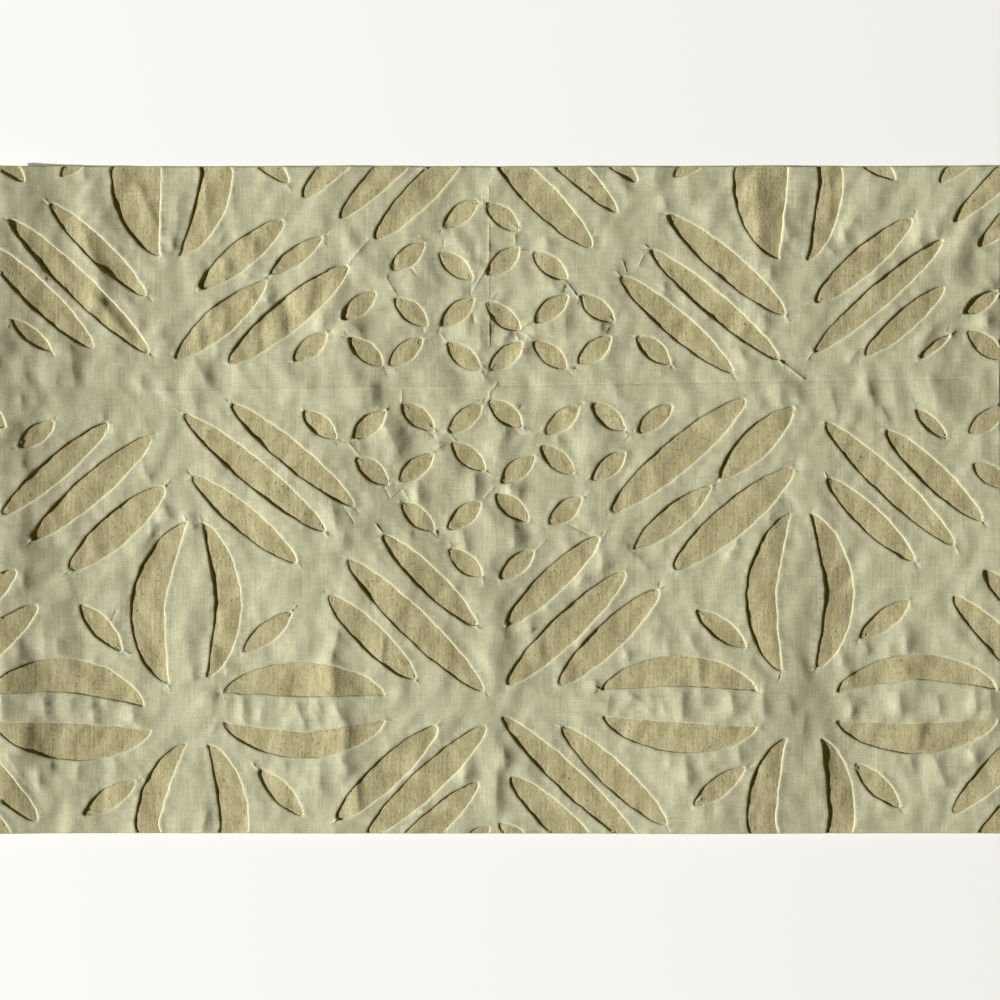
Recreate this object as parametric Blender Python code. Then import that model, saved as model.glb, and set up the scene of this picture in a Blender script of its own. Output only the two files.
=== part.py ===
"""Applique bedsheet, a cut length: a pierced top cloth lying on a plain base cloth.

The work is cutwork applique. The top cloth is folded, cut through in leaf, bar and petal shapes, opened out, and
sewn down on the base cloth with its cut edges turned under. The pattern is the old one of such sheets: lattices of
small leaves, flowers of four pairs of petals, and bundles of three bars between them, with a lone leaf on each
diagonal. Every window is cut by hand, so no two bundles lie quite alike.

The tables are in millimetres and degrees. A turn runs from +X towards +Y, seen from above. The origin is the
middle of the underside, +X runs along the longer side, and +Z is up.
"""

import math
from collections import namedtuple

import bmesh
import bpy
from mathutils import Vector
from mathutils.geometry import delaunay_2d_cdt, intersect_point_line

MM = 0.001

# The cut length and its two cloths
WIDTH = 630
DEPTH = 420
BASE_THICKNESS = 1.2
TOP_THICKNESS = 1.0
CLEARANCE = 0.5
TOP_INSET = 0.5

# The top cloth is sewn down along every window, and stands a little proud between them
PROUD = 1.5
PROUD_REACH = 16
SWELL_PITCH = 58

# How far apart the points of the sheets are
BASE_STEP = 45
TOP_STEP = 15
EDGE_STEP = 21
LEAST_TO_WINDOW = 5
LEAST_TO_EDGE = 6

# The windows
LEAF_LENGTH = 26.5
LEAF_WIDTH = 12
LEAF_TURN = 39
LONE_LEAF_LENGTH = 38.5
LONE_LEAF_WIDTH = 12.5
LEAF_FULLNESS = 0.66
BAR_FULLNESS = 0.5
PETAL_FULLNESS = 0.58
KINK_SHARPNESS = 1.25
LEAF_SPANS = 6
BAR_SPANS = 7
PETAL_SPANS = 8
SIDE_LEAST = 1e-6

# Where the middle of the pattern's tables lies on the cut length
CHART_MIDDLE = Vector((0.6, 0.3))

Fold = namedtuple("Fold", "name x y length half_width height upright")
LatticeRow = namedtuple("LatticeRow", "y first_side places rises")
LoneLeaf = namedtuple("LoneLeaf", "x y turn")
OddWindow = namedtuple("OddWindow", "name x y turn length width")
Bundle = namedtuple("Bundle", "name x y turn lengths slides pitches widths")
PetalPair = namedtuple("PetalPair", "name x y turn starts lengths near_gap far_gap kinks outers")

# Creases that lift both cloths. An upright one runs along Y, the other along X.
FOLDS = (
    Fold("pressed middle crease, far half", -14, 105, 190, 20, 0.9, True),
    Fold("pressed middle crease, near half", -6, -80, 200, 18, 0.8, True),
    Fold("pressed level crease", 0, 72, 560, 18, 0.5, False),
    Fold("crease by the left flower", -101, -120, 150, 18, 0.9, True),
    Fold("crease at the far left", -253, 150, 120, 18, 0.8, True),
    Fold("crease in the right flower", 258, -126, 130, 18, 0.8, True),
)

# Leaf lattice in the middle, row by row from the far edge: how far along Y the row is, which side its first leaf
# leans to, where its leaves are along X, and how much each stands off the row. Neighbours lean opposite ways.
LATTICE_ROWS = (
    LatticeRow(179, 1, (-25.5, 1), (1, -1)),
    LatticeRow(149, 1, (-58.5, -28.5, 1.5, 31), (4, -2, 1, -2)),
    LatticeRow(119, 1, (-89.5, -56.5, -27.5, 1.5, 31.5, 60.5), (3, -1, -1, -4, 1, 1)),
    LatticeRow(93, 1, (-120, -85, -60, -23.5, 3, 31, 59, 96), (3, 0, 0, -3, -3, -2, 1, 1)),
    LatticeRow(50, -1, (-114, -83, -52.5, -22.5, 3, 38.5, 67.5, 97), (-3, -3, 2, 1, 4, 0, 2, 1)),
    LatticeRow(21, -1, (-81, -53.5, -20.5, 10.5, 35.5, 68), (-3, -1, 6, -2, 4, 0)),
    LatticeRow(-8, -1, (-52.5, -23, 7, 40.5), (-3, -2, 3, 1)),
    LatticeRow(-41, -1, (-22.5, 10), (1, 0)),
)

# The leaves of the next lattices that reach into the cut length, and the windows cut unlike their neighbours
ODD_WINDOWS = (
    OddWindow("left lattice, far leaf", -295, 103, -39, 31, 9),
    OddWindow("left lattice, near leaf", -292, 41, 37, 26, 12),
    OddWindow("left lattice, leaf at the edge", -321, 54, -40, 27, 11),
    OddWindow("right lattice, far leaf", 302, 124, 32, 25, 10),
    OddWindow("right lattice, slit", 272.5, 96, 37, 24, 5.5),
    OddWindow("right lattice, leaf at the far side", 305, 97, -38, 28, 12),
    OddWindow("right lattice, narrow leaf", 271, 47.5, -43, 27, 8.5),
    OddWindow("right lattice, leaf at the near side", 306, 50, 35, 27, 12),
    OddWindow("right lattice, near leaf", 309, 15, -32, 28, 12),
    OddWindow("near lattice, left leaf", -17.5, -214.5, 40, 27, 11),
    OddWindow("near lattice, right leaf", 9.5, -212.5, -40, 27, 11),
    OddWindow("bar cut in two at the far left, long half", -176.5, 113, 40, 75, 18.5),
    OddWindow("bar cut in two at the far left, short half", -129, 153.5, 35.5, 40, 11),
    OddWindow("bar cut in two at the right, near half", 108, -11.5, 39, 62, 15.5),
    OddWindow("bar cut in two at the right, far half", 161, 36, 44, 64, 19),
)

# A lone leaf on each diagonal of a flower
LONE_LEAVES = (
    LoneLeaf(-252, -80.5, -48),
    LoneLeaf(-147, -83.5, 39),
    LoneLeaf(-138.5, -184.5, -46),
    LoneLeaf(-246.5, -188, 32),
    LoneLeaf(138.5, -81.5, -37),
    LoneLeaf(241.5, -75.5, 37),
    LoneLeaf(237, -180, -44),
    LoneLeaf(137, -180, 37),
    LoneLeaf(-263.5, 217, 46),
    LoneLeaf(-148, 213, -43),
    LoneLeaf(124, 215, 38),
    LoneLeaf(233, 213.5, -38),
)

# Bundles of three bars: the middle bar's place and turn, the lengths of the inner, middle and outer bar (0 is
# left out), how far the side bars slide along and stand across, to the left of the turn, and the three widths
BUNDLES = (
    Bundle("far left corner", -265, 134, -44, (94, 119, 82), (-14.5, -8), (-22, 24.5), (16.5, 16, 14)),
    Bundle("far left corner, second", -328, 227.5, -44, (0, 80, 0), (0, 0), (0, 0), (15, 15, 15)),
    Bundle("far flower, right side", -159, 127, 39, (96, 0, 67), (13, 14), (-24, 24), (20, 18, 17)),
    Bundle("far edge, left of the lattice", -61, 218.5, 45.5, (85, 115, 80), (-9, -25), (-25, 26), (17.5, 17, 16)),
    Bundle("far edge, right of the lattice", 32.5, 221.5, -45, (91, 115, 80), (16, 12.5), (-27, 22.5), (19, 16, 15)),
    Bundle("right flower, far left", 134.5, 122.5, -40.5, (92, 106, 96), (-10.5, -10.5), (-25, 24), (16, 14.5, 17)),
    Bundle("right flower, far right side", 237.5, 128, 41, (65, 107, 80), (2, 7.5), (-22.5, 23), (13.5, 14.5, 17)),
    Bundle("far right corner", 327, 214, 43, (80, 115, 80), (-16, -7), (-22, 24.5), (14.5, 14.5, 14.5)),
    Bundle("left flower, left side", -257.5, 7.5, 41, (87, 98, 78), (-9.5, -5), (24, -29.5), (15, 17.5, 20)),
    Bundle("left edge", -330.5, -98.5, 39.5, (80, 100, 0), (14, 0), (25, 0), (18, 20.5, 18)),
    Bundle("left flower, right side", -155, 16.5, -39.5, (100, 115, 84), (11, 13.5), (24, -26.5), (15.5, 16.5, 16)),
    Bundle("left flower, near the lattice", -54, -79, -44, (81, 118, 75), (-13, -14), (26.5, -24.5), (15, 18, 16.5)),
    Bundle("right flower, left side", 135, 12.5, 40, (109, 0, 97), (-8, -7), (27, -26), (20.5, 20, 21)),
    Bundle("right flower, near side", 41, -81, 43.5, (80, 102, 86), (14.5, 15.5), (27.5, -22.5), (16, 18.5, 18)),
    Bundle("right flower, right side", 244.5, 10, -43.5, (82, 111, 74), (16.5, 7), (23, -24.5), (15.5, 16.5, 15)),
    Bundle("right edge", 326, -101, -44, (80, 115, 0), (-15, 0), (25, 0), (16.5, 18, 16)),
    Bundle("near edge, left of lattice", -47, -177.5, 43, (90, 102, 85), (-22, -14.5), (-22.5, 21), (17, 18, 18)),
    Bundle("near edge, right of lattice", 44.5, -177.5, -43, (85, 119, 89), (12.5, 17), (-24, 21), (18, 16, 16.5)),
    Bundle("near left corner", -326.5, -166, -46, (80, 100, 0), (12, 0), (-22, 0), (18, 18, 18)),
    Bundle("near right corner", 320.5, -161.5, 44.5, (80, 100, 0), (-18, 0), (-25.5, 0), (17, 18, 17)),
)

# Pairs of petals: where the pair starts beside its flower's middle and its turn, where its left and its right petal
# start along it and their lengths, the gaps between the near tips and between the far tips, and how far the inner
# kink and the outer edge of the left and of the right petal stand from the pair's line
PETAL_PAIRS = (
    PetalPair("left flower, far", -197.5, -114.5, 87.5, (-2, 3.5), (102, 96.5), 24.5, 10, (16.5, 15.5), (37.5, 31.5)),
    PetalPair("left flower, near", -191.5, -154, -93, (0, 0), (100, 100), 14, 12, (17.5, 21.5), (35, 36)),
    PetalPair("left flower, left", -220, -138, 176, (0, 5.5), (98, 98), 15, 17.5, (6.5, 13), (29.5, 34)),
    PetalPair("left flower, right", -174.5, -131, 0, (0, 0), (101, 101), 19, 16.5, (7, 15.5), (28.5, 31.5)),
    PetalPair("right flower, far", 187, -107, 89, (-1, 1), (99, 97), 21.5, 13, (15, 16.5), (33.5, 34)),
    PetalPair("right flower, near", 190, -150.5, -90, (0, 0), (100, 100), 23, 12, (16.5, 17.5), (32.5, 35.5)),
    PetalPair("right flower, left", 160.5, -131.5, 178, (0, 1), (96, 96), 23, 17, (10.5, 12.5), (29, 31.5)),
    PetalPair("right flower, right", 211.5, -130.5, 1, (0, 0), (100, 100), 18.5, 19.5, (16.5, 11.5), (32, 30)),
    PetalPair("far left flower, near", -206.5, 254.5, -91.5, (0, 0), (101, 101), 15, 13, (19, 6.5), (38.5, 38)),
    PetalPair("far right flower, near", 187, 252, -92, (0, 0), (101, 101), 15, 18.5, (15, 5), (30, 39)),
)


def clear_scene():
    for thing in list(bpy.data.objects):
        bpy.data.objects.remove(thing, do_unlink=True)


def placed(x, y, turn, points):
    """Points given along and across a line that starts at x, y, set in the plane of the cloth."""
    along = Vector((math.cos(math.radians(turn)), math.sin(math.radians(turn))))
    across = Vector((-along.y, along.x))
    return [Vector((x, y)) + along * a + across * b for a, b in points]


def shares(spans):
    """Places from 0 to 1 along a window, closer together at its tips."""
    return [(1 - math.cos(math.pi * i / spans)) / 2 for i in range(spans + 1)]


def leaf_window(x, y, turn, length, width, spans, fullness):
    """A window with two tips and two like bellies, as its ring of points."""
    far_side, near_side = [], []
    for share in shares(spans):
        belly = width / 2 * max(math.sin(math.pi * share), 0) ** fullness
        far_side.append((length * (share - 0.5), belly))
        near_side.append((length * (share - 0.5), -belly))
    return placed(x, y, turn, far_side + near_side[-2:0:-1])


def petal_window(pair, side):
    """One petal of a pair: a full outer arc and an inner edge with a soft kink. side is 1 on the left."""
    which = 0 if side > 0 else 1
    start, length = pair.starts[which], pair.lengths[which]
    kink, outer = pair.kinks[which], pair.outers[which]
    middle = (pair.near_gap + pair.far_gap) / 4
    inner_edge, outer_edge = [], []
    for share in shares(PETAL_SPANS):
        tip_line = (pair.near_gap + (pair.far_gap - pair.near_gap) * share) / 2
        bend = 1 - abs(2 * share - 1) ** KINK_SHARPNESS
        arc = max(math.sin(math.pi * share), 0) ** PETAL_FULLNESS
        inner_edge.append((start + length * share, side * (tip_line + (kink - middle) * bend)))
        outer_edge.append((start + length * share, side * (tip_line + (outer - middle) * arc)))
    return placed(pair.x, pair.y, pair.turn, outer_edge + inner_edge[-2:0:-1])


def bundle_windows(bundle):
    """The bars of a bundle: the middle one, and the inner and outer ones beside it."""
    shifts = ((bundle.slides[0], bundle.pitches[0]), (0, 0), (bundle.slides[1], bundle.pitches[1]))
    centres = placed(bundle.x, bundle.y, bundle.turn, shifts)
    return [
        leaf_window(centre.x, centre.y, bundle.turn, length, width, BAR_SPANS, BAR_FULLNESS)
        for centre, length, width in zip(centres, bundle.lengths, bundle.widths)
        if length
    ]


def all_windows():
    windows = []
    for row in LATTICE_ROWS:
        side = row.first_side
        for x, rise in zip(row.places, row.rises):
            windows.append(
                leaf_window(x, row.y + rise, side * LEAF_TURN, LEAF_LENGTH, LEAF_WIDTH, LEAF_SPANS, LEAF_FULLNESS)
            )
            side = -side
    for odd in ODD_WINDOWS:
        windows.append(leaf_window(odd.x, odd.y, odd.turn, odd.length, odd.width, LEAF_SPANS, LEAF_FULLNESS))
    for leaf in LONE_LEAVES:
        windows.append(
            leaf_window(leaf.x, leaf.y, leaf.turn, LONE_LEAF_LENGTH, LONE_LEAF_WIDTH, LEAF_SPANS, LEAF_FULLNESS)
        )
    for bundle in BUNDLES:
        windows.extend(bundle_windows(bundle))
    for pair in PETAL_PAIRS:
        windows.append(petal_window(pair, 1))
        windows.append(petal_window(pair, -1))
    return [[point + CHART_MIDDLE for point in ring] for ring in windows]


def smooth(share):
    share = min(max(share, 0), 1)
    return share * share * (3 - 2 * share)


def fold_lift(x, y):
    """How far the creases lift both cloths at a place."""
    lift = 0
    for fold in FOLDS:
        across, along = (x - fold.x, y - fold.y) if fold.upright else (y - fold.y, x - fold.x)
        crest = max(1 - abs(across) / fold.half_width, 0)
        fade = 2 * (1 - abs(along) / (fold.length / 2))
        lift = max(lift, fold.height * smooth(crest) * smooth(fade))
    return lift


def swell(x, y):
    """Long, uneven waves, from 0.35 to 1, by which the top cloth stands proud more here and less there."""
    wave = math.sin(math.tau * (x + 0.3 * y) / SWELL_PITCH) * math.sin(math.tau * (y - 0.4 * x) / SWELL_PITCH + 1)
    return 0.675 + 0.325 * wave


def spread(half, step):
    """Even places from one edge to the other, about a step apart."""
    spans = round(2 * half / step)
    return [half * (2 * i / spans - 1) for i in range(spans + 1)]


def with_fold_lines(places, upright):
    """The places, and those that a crease needs across it, without any that nearly meet."""
    extra = [
        (fold.x if upright else fold.y) + share * fold.half_width
        for fold in FOLDS
        if fold.upright == upright
        for share in (-1, -0.5, 0, 0.5, 1)
    ]
    kept = list(places)
    for place in extra:
        kept = [k for k in kept if abs(k - place) > LEAST_TO_EDGE or abs(k) == abs(places[0])] + [place]
    return sorted(kept)


def fabric(name, color, roughness):
    material = bpy.data.materials.new(name)
    material.use_nodes = True
    shader = material.node_tree.nodes["Principled BSDF"]
    shader.inputs["Base Color"].default_value = (*color, 1)
    shader.inputs["Roughness"].default_value = roughness
    return material


def sheet_object(name, flat_points, triangles, heights, thickness, material):
    """A closed sheet: its underside at the heights, its upper side a thickness above, and a wall along each rim."""
    mesh = bmesh.new()
    under = [mesh.verts.new((x * MM, y * MM, z * MM)) for (x, y), z in zip(flat_points, heights)]
    upper = [mesh.verts.new((x * MM, y * MM, (z + thickness) * MM)) for (x, y), z in zip(flat_points, heights)]
    rim = {}
    for a, b, c in triangles:
        mesh.faces.new((under[c], under[b], under[a]))
        mesh.faces.new((upper[a], upper[b], upper[c]))
        for start, end in ((a, b), (b, c), (c, a)):
            if (end, start) in rim:
                del rim[(end, start)]
            else:
                rim[(start, end)] = True
    for start, end in rim:
        mesh.faces.new((under[start], under[end], upper[end], upper[start]))
    for vert in [v for v in mesh.verts if not v.link_faces]:
        mesh.verts.remove(vert)
    data = bpy.data.meshes.new(name)
    mesh.to_mesh(data)
    mesh.free()
    data.materials.append(material)
    thing = bpy.data.objects.new(name, data)
    bpy.context.scene.collection.objects.link(thing)
    return thing


def make_base_cloth():
    """The base cloth: one whole sheet, with more points across its creases."""
    xs = with_fold_lines(spread(WIDTH / 2, BASE_STEP), True)
    ys = with_fold_lines(spread(DEPTH / 2, BASE_STEP), False)
    points = [(x, y) for y in ys for x in xs]
    triangles = []
    for j in range(len(ys) - 1):
        for i in range(len(xs) - 1):
            corner = j * len(xs) + i
            beside, over = corner + 1, corner + len(xs)
            triangles += [(corner, beside, over + 1), (corner, over + 1, over)]
    heights = [fold_lift(x, y) for x, y in points]
    oatmeal = fabric("oatmeal handloom cotton", (0.46, 0.37, 0.23), 0.95)
    return sheet_object("base_cloth", points, triangles, heights, BASE_THICKNESS, oatmeal)


def inside(point, ring):
    """Whether a point is inside a ring of points."""
    found = False
    for a, b in zip(ring, ring[1:] + ring[:1]):
        if (a.y > point.y) != (b.y > point.y):
            if point.x < a.x + (b.x - a.x) * (point.y - a.y) / (b.y - a.y):
                found = not found
    return found


def to_ring(point, ring):
    """The distance from a point to the nearest side of a ring."""
    least = math.inf
    for a, b in zip(ring, ring[1:] + ring[:1]):
        foot, share = intersect_point_line(point, a, b)
        foot = a if share < 0 else b if share > 1 else foot.to_2d()
        least = min(least, (point - foot).length)
    return least


class Windows:
    """All the windows, each with a circle round it, so that far ones are passed over quickly."""

    def __init__(self, rings):
        self.rings = rings
        self.middles = [sum(ring, Vector((0, 0))) / len(ring) for ring in rings]
        self.reaches = [max((p - m).length for p in ring) for ring, m in zip(rings, self.middles)]

    def near(self, point, reach):
        for ring, middle, size in zip(self.rings, self.middles, self.reaches):
            if (point - middle).length < size + reach:
                yield ring

    def hold(self, point):
        return any(inside(point, ring) for ring in self.near(point, 0))

    def distance(self, point, most):
        return min([to_ring(point, ring) for ring in self.near(point, most)] + [most])


def largest_piece(triangles):
    """The triangles of the largest piece that holds together, so that no loose bit is left at an edge."""
    leader = {}

    def find(a):
        while leader.setdefault(a, a) != a:
            a = leader[a]
        return a

    for a, b, c in triangles:
        leader[find(a)] = find(b)
        leader[find(b)] = find(c)
    pieces = {}
    for triangle in triangles:
        pieces.setdefault(find(triangle[0]), []).append(triangle)
    return max(pieces.values(), key=len)


def make_top_cloth():
    """The top cloth: the sheet with every window cut through it, lying just over the base cloth."""
    windows = Windows(all_windows())
    half_x, half_y = WIDTH / 2 - TOP_INSET, DEPTH / 2 - TOP_INSET
    xs, ys = spread(half_x, EDGE_STEP), spread(half_y, EDGE_STEP)
    edge = [Vector((x, -half_y)) for x in xs[:-1]] + [Vector((half_x, y)) for y in ys[:-1]]
    edge += [-p for p in edge]
    points = list(edge)
    lines = [(i, (i + 1) % len(edge)) for i in range(len(edge))]
    for ring in windows.rings:
        first = len(points)
        points += ring
        lines += [(first + i, first + (i + 1) % len(ring)) for i in range(len(ring))]
    for y in spread(half_y, TOP_STEP)[1:-1]:
        for x in spread(half_x, TOP_STEP)[1:-1]:
            point = Vector((x, y))
            free = not windows.hold(point) and windows.distance(point, LEAST_TO_WINDOW) >= LEAST_TO_WINDOW
            if free and half_x - abs(x) > LEAST_TO_EDGE and half_y - abs(y) > LEAST_TO_EDGE:
                points.append(point)
    points, _, faces, *_ = delaunay_2d_cdt(points, lines, [], 0, SIDE_LEAST)
    cloth = []
    for a, b, c in faces:
        middle = (points[a] + points[b] + points[c]) / 3
        if abs(middle.x) < half_x and abs(middle.y) < half_y and not windows.hold(middle):
            cloth.append((a, b, c))
    resting = BASE_THICKNESS + CLEARANCE
    heights = []
    for point in points:
        sewn = smooth(windows.distance(point, PROUD_REACH) / PROUD_REACH)
        heights.append(resting + fold_lift(*point) + PROUD * sewn * swell(*point))
    cream = fabric("cream cotton", (0.60, 0.58, 0.44), 0.9)
    flat_points = [tuple(point) for point in points]
    return sheet_object("top_cloth", flat_points, largest_piece(cloth), heights, TOP_THICKNESS, cream)


clear_scene()
make_base_cloth()
make_top_cloth()
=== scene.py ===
# %% [markdown]
# # A cutwork applique bedsheet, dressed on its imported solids
#
# Two cloths make this sheet. A coarse oatmeal handloom lies underneath. A fine cream cotton lies over it,
# cut through in leaves, bars and petals, and each cut edge is turned under and sewn down by hand. What
# the eye meets is therefore relief: a thin shadow along one side of every window, a lit fold along the
# other, and a top cloth that puckers between its windows.
#
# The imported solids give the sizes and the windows. This script puts the soft surface on them: turned
# edges, puckers, creases, stitches, yarns and the two weaves.

import math
from collections import namedtuple

import bmesh
import bpy
import numpy as np
from mathutils import Matrix, Vector
from mathutils.geometry import delaunay_2d_cdt
from mathutils.kdtree import KDTree


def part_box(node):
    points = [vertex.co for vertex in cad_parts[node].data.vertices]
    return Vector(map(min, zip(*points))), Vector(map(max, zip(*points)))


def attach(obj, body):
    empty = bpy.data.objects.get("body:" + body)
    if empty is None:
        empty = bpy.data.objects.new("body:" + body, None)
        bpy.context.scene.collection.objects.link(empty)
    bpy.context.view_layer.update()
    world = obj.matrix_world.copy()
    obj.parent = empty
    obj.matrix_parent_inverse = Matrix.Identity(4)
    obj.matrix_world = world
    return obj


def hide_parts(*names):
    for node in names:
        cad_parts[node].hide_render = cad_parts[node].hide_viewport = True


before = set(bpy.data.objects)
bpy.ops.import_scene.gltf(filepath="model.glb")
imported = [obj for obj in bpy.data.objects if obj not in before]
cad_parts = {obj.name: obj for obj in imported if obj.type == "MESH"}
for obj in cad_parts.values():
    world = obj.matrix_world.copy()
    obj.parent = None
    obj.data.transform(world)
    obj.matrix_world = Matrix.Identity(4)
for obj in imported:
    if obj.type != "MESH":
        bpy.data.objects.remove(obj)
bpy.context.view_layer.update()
print("nodes:", sorted(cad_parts))

# %% [markdown]
# ## Sizes
#
# Cloth is thought of in millimetres, so every size here is one, and MM turns it into metres when a mesh
# is made. Places on the cloth that were read off the photograph are kept as its pixels, across and down,
# and `on_cloth` turns them into millimetres from the middle.

# %% The cloths' sizes
MM = 0.001
PIXEL = 0.63
PHOTO_MIDDLE = 500

low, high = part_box("base_cloth")
WIDTH, DEPTH = (high.x - low.x) / MM, (high.y - low.y) / MM
BASE_TOP = 1.2


def on_cloth(across, down):
    """A place in the photograph's pixels as millimetres from the middle of the cut length."""
    return (across - PHOTO_MIDDLE) * PIXEL, (PHOTO_MIDDLE - down) * PIXEL


print(f"cut length {WIDTH:.0f} by {DEPTH:.0f} mm")

# %% [markdown]
# ## The windows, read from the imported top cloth
#
# The windows could be listed again here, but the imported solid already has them. Its upper side is a net
# of triangles, and an edge with only one upper face beside it lies on a rim. Following those edges gives
# one ring for each window and one for the sheet. The cloth is always on the left of the way a ring runs,
# which later says on which side the edge turns under.

# %% Follow the rims of the upper side
SAME_PLACE = 1e-5
UPWARD = 0.5


def upper_rims(node):
    mesh = bmesh.new()
    mesh.from_mesh(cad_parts[node].data)
    bmesh.ops.remove_doubles(mesh, verts=mesh.verts, dist=SAME_PLACE)
    mesh.normal_update()
    follows = {}
    for face in mesh.faces:
        if face.normal.z < UPWARD:
            continue
        for corner in face.loops:
            beside = [f for f in corner.edge.link_faces if f is not face]
            if not any(f.normal.z > UPWARD for f in beside):
                follows[corner.vert] = corner.link_loop_next.vert
    rims = []
    while follows:
        start = next(iter(follows))
        rim, at = [], start
        while at in follows:
            rim.append((at.co.x / MM, at.co.y / MM))
            at = follows.pop(at)
        rims.append(np.array(rim))
    mesh.free()
    return rims


def ring_area(ring):
    x, y = ring[:, 0], ring[:, 1]
    return (x @ np.roll(y, -1) - y @ np.roll(x, -1)) / 2


rims = sorted(upper_rims("top_cloth"), key=ring_area)
sheet_rim, window_rims = rims[-1], rims[:-1]
print(len(window_rims), "whole windows")

# %% [markdown]
# ## Smooth, uneven edges
#
# The solid's rings have a dozen corners. A sewn edge has none, so a curve is laid through the corners
# (Catmull-Rom, which passes through every one) and stepped off evenly. Handwork then shows in two ways:
# slow waves, where the scissors wandered, and a fine ripple at the pitch of the stitches, which draw the
# fold in.
#
# The sheet's own rim is cut into stretches first, because it runs by turns along the raw edge and along
# windows that the raw edge cuts.

# %% Curves through corners, and steps along them
EDGE_PITCH = 2.0
CUT_MARGIN = 0.6
CURVE_STEPS = 24
BEND_WEIGHT, MOST_BEND = 3.0, 1.6
SCISSOR_WAVES = ((27, 0.2), (13, 0.15), (6.5, 0.06))
WAVE_STRETCHES = (0.8, 1, 1.35)
OPEN_END_FADE = 8
hand = np.random.default_rng(7)


def curve_through(corners, closed):
    """Many points on a Catmull-Rom curve through the corners."""
    if closed:
        padded = np.vstack([corners[-1:], corners, corners[:2]])
    else:
        padded = np.vstack([corners[:1], corners, corners[-1:]])
    share = np.linspace(0, 1, CURVE_STEPS, endpoint=False)[:, None]
    spans = []
    for a, b, c, d in zip(padded, padded[1:], padded[2:], padded[3:]):
        line = 2 * b + (c - a) * share + (2 * a - 5 * b + 4 * c - d) * share**2
        spans.append((line + (3 * b - a - 3 * c + d) * share**3) / 2)
    return np.vstack(spans + ([] if closed else [corners[-1:]]))


def stepped(line, closed, pitch, bend_weight=0):
    """The line as points at even steps, which are shorter where it bends if a weight is given."""
    track = np.vstack([line, line[:1]]) if closed else line
    strides = np.diff(track, axis=0)
    lengths = np.hypot(*strides.T)
    if bend_weight:
        ways = np.unwrap(np.arctan2(strides[:, 1], strides[:, 0]))
        bends = np.abs(np.gradient(ways)) / np.maximum(lengths, 1e-3)
        lengths = lengths * (1 + np.minimum(bends * bend_weight, MOST_BEND))
    walked = np.concatenate([[0], np.cumsum(lengths)])
    steps = max(round(walked[-1] / pitch), 1)
    places = np.linspace(0, walked[-1], steps + 1)[: steps if closed else None]
    return np.column_stack([np.interp(places, walked, track[:, axis]) for axis in (0, 1)])


def inward(line, closed):
    """Unit vectors towards the cloth, which is on the left of the way the line runs."""
    if closed:
        run = np.roll(line, -1, axis=0) - np.roll(line, 1, axis=0)
    else:
        run = np.gradient(line, axis=0)
    run /= np.hypot(*run.T)[:, None]
    return np.column_stack([-run[:, 1], run[:, 0]])


def walked_along(line):
    """How far along the line each of its points is."""
    return np.concatenate([[0], np.cumsum(np.hypot(*np.diff(line, axis=0).T))])


def by_hand(line, closed):
    """The line with the waver of scissors and the ripple of stitches, which fade out at open ends."""
    walked = walked_along(line)
    length = walked[-1] + (math.dist(line[-1], line[0]) if closed else 0)
    sway = np.zeros(len(line))
    for wave, depth in SCISSOR_WAVES:
        for stretch in WAVE_STRETCHES:
            turns = max(round(length / (wave * stretch)), 1)
            sway += depth / 2 * np.sin(math.tau * (turns * walked / length + hand.random()))
    if not closed:
        sway *= np.clip(np.minimum(walked, walked[-1] - walked) / OPEN_END_FADE, 0, 1)
    return line + inward(line, closed) * sway[:, None]


print("a point every", EDGE_PITCH, "mm along an edge, and closer in its bends")

# %% [markdown]
# An Edge is one stretch of rim: its points, the vectors towards the cloth, whether it closes on itself,
# and whether it is a turned edge or the raw cut.

# %% The edges of the top cloth
Edge = namedtuple("Edge", "points inward closed turned")


def on_cut(points):
    return (np.abs(points[:, 0]) > WIDTH / 2 - CUT_MARGIN) | (np.abs(points[:, 1]) > DEPTH / 2 - CUT_MARGIN)


def make_edge(corners, closed, turned):
    line = curve_through(corners, closed) if turned else corners
    line = stepped(line, closed, EDGE_PITCH, BEND_WEIGHT if turned else 0)
    if turned:
        line = by_hand(line, closed)
    return Edge(line, inward(line, closed), closed, turned)


def sheet_edges(rim):
    """The sheet's rim as raw stretches and turned stretches, each starting where the last one ends."""
    raw_side = on_cut(rim) & on_cut(np.roll(rim, -1, axis=0)) & on_cut((rim + np.roll(rim, -1, axis=0)) / 2)
    first = next(i for i in range(len(rim)) if raw_side[i] != raw_side[i - 1])
    order = [(first + i) % len(rim) for i in range(len(rim))]
    stretches = []
    for i in order:
        if not stretches or stretches[-1][1] != raw_side[i]:
            stretches.append(([rim[i]], raw_side[i]))
        stretches[-1][0].append(rim[(i + 1) % len(rim)])
    return [make_edge(np.array(corners), False, not raw) for corners, raw in stretches]


window_edges = [make_edge(rim, True, True) for rim in window_rims]
rim_edges = sheet_edges(sheet_rim)
turned_edges = window_edges + [edge for edge in rim_edges if edge.turned]
turned_length = sum(walked_along(edge.points)[-1] for edge in turned_edges) * MM
print(f"{turned_length:.1f} m of turned edge, {len(rim_edges)} stretches round the sheet")

# %% [markdown]
# ## How the cloths lie
#
# The solids carry the large creases, so their table is repeated here, in millimetres from the middle, and
# every height starts from it.

# %% The creases of the solids
Fold = namedtuple("Fold", "name x y length half_width height upright")
FOLDS = (
    Fold("pressed middle crease, far half", -14, 105, 190, 20, 0.9, True),
    Fold("pressed middle crease, near half", -6, -80, 200, 18, 0.8, True),
    Fold("pressed level crease", 0, 72, 560, 18, 0.5, False),
    Fold("crease by the left flower", -101, -120, 150, 18, 0.9, True),
    Fold("crease at the far left", -253, 150, 120, 18, 0.8, True),
    Fold("crease in the right flower", 258, -126, 130, 18, 0.8, True),
)


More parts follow.
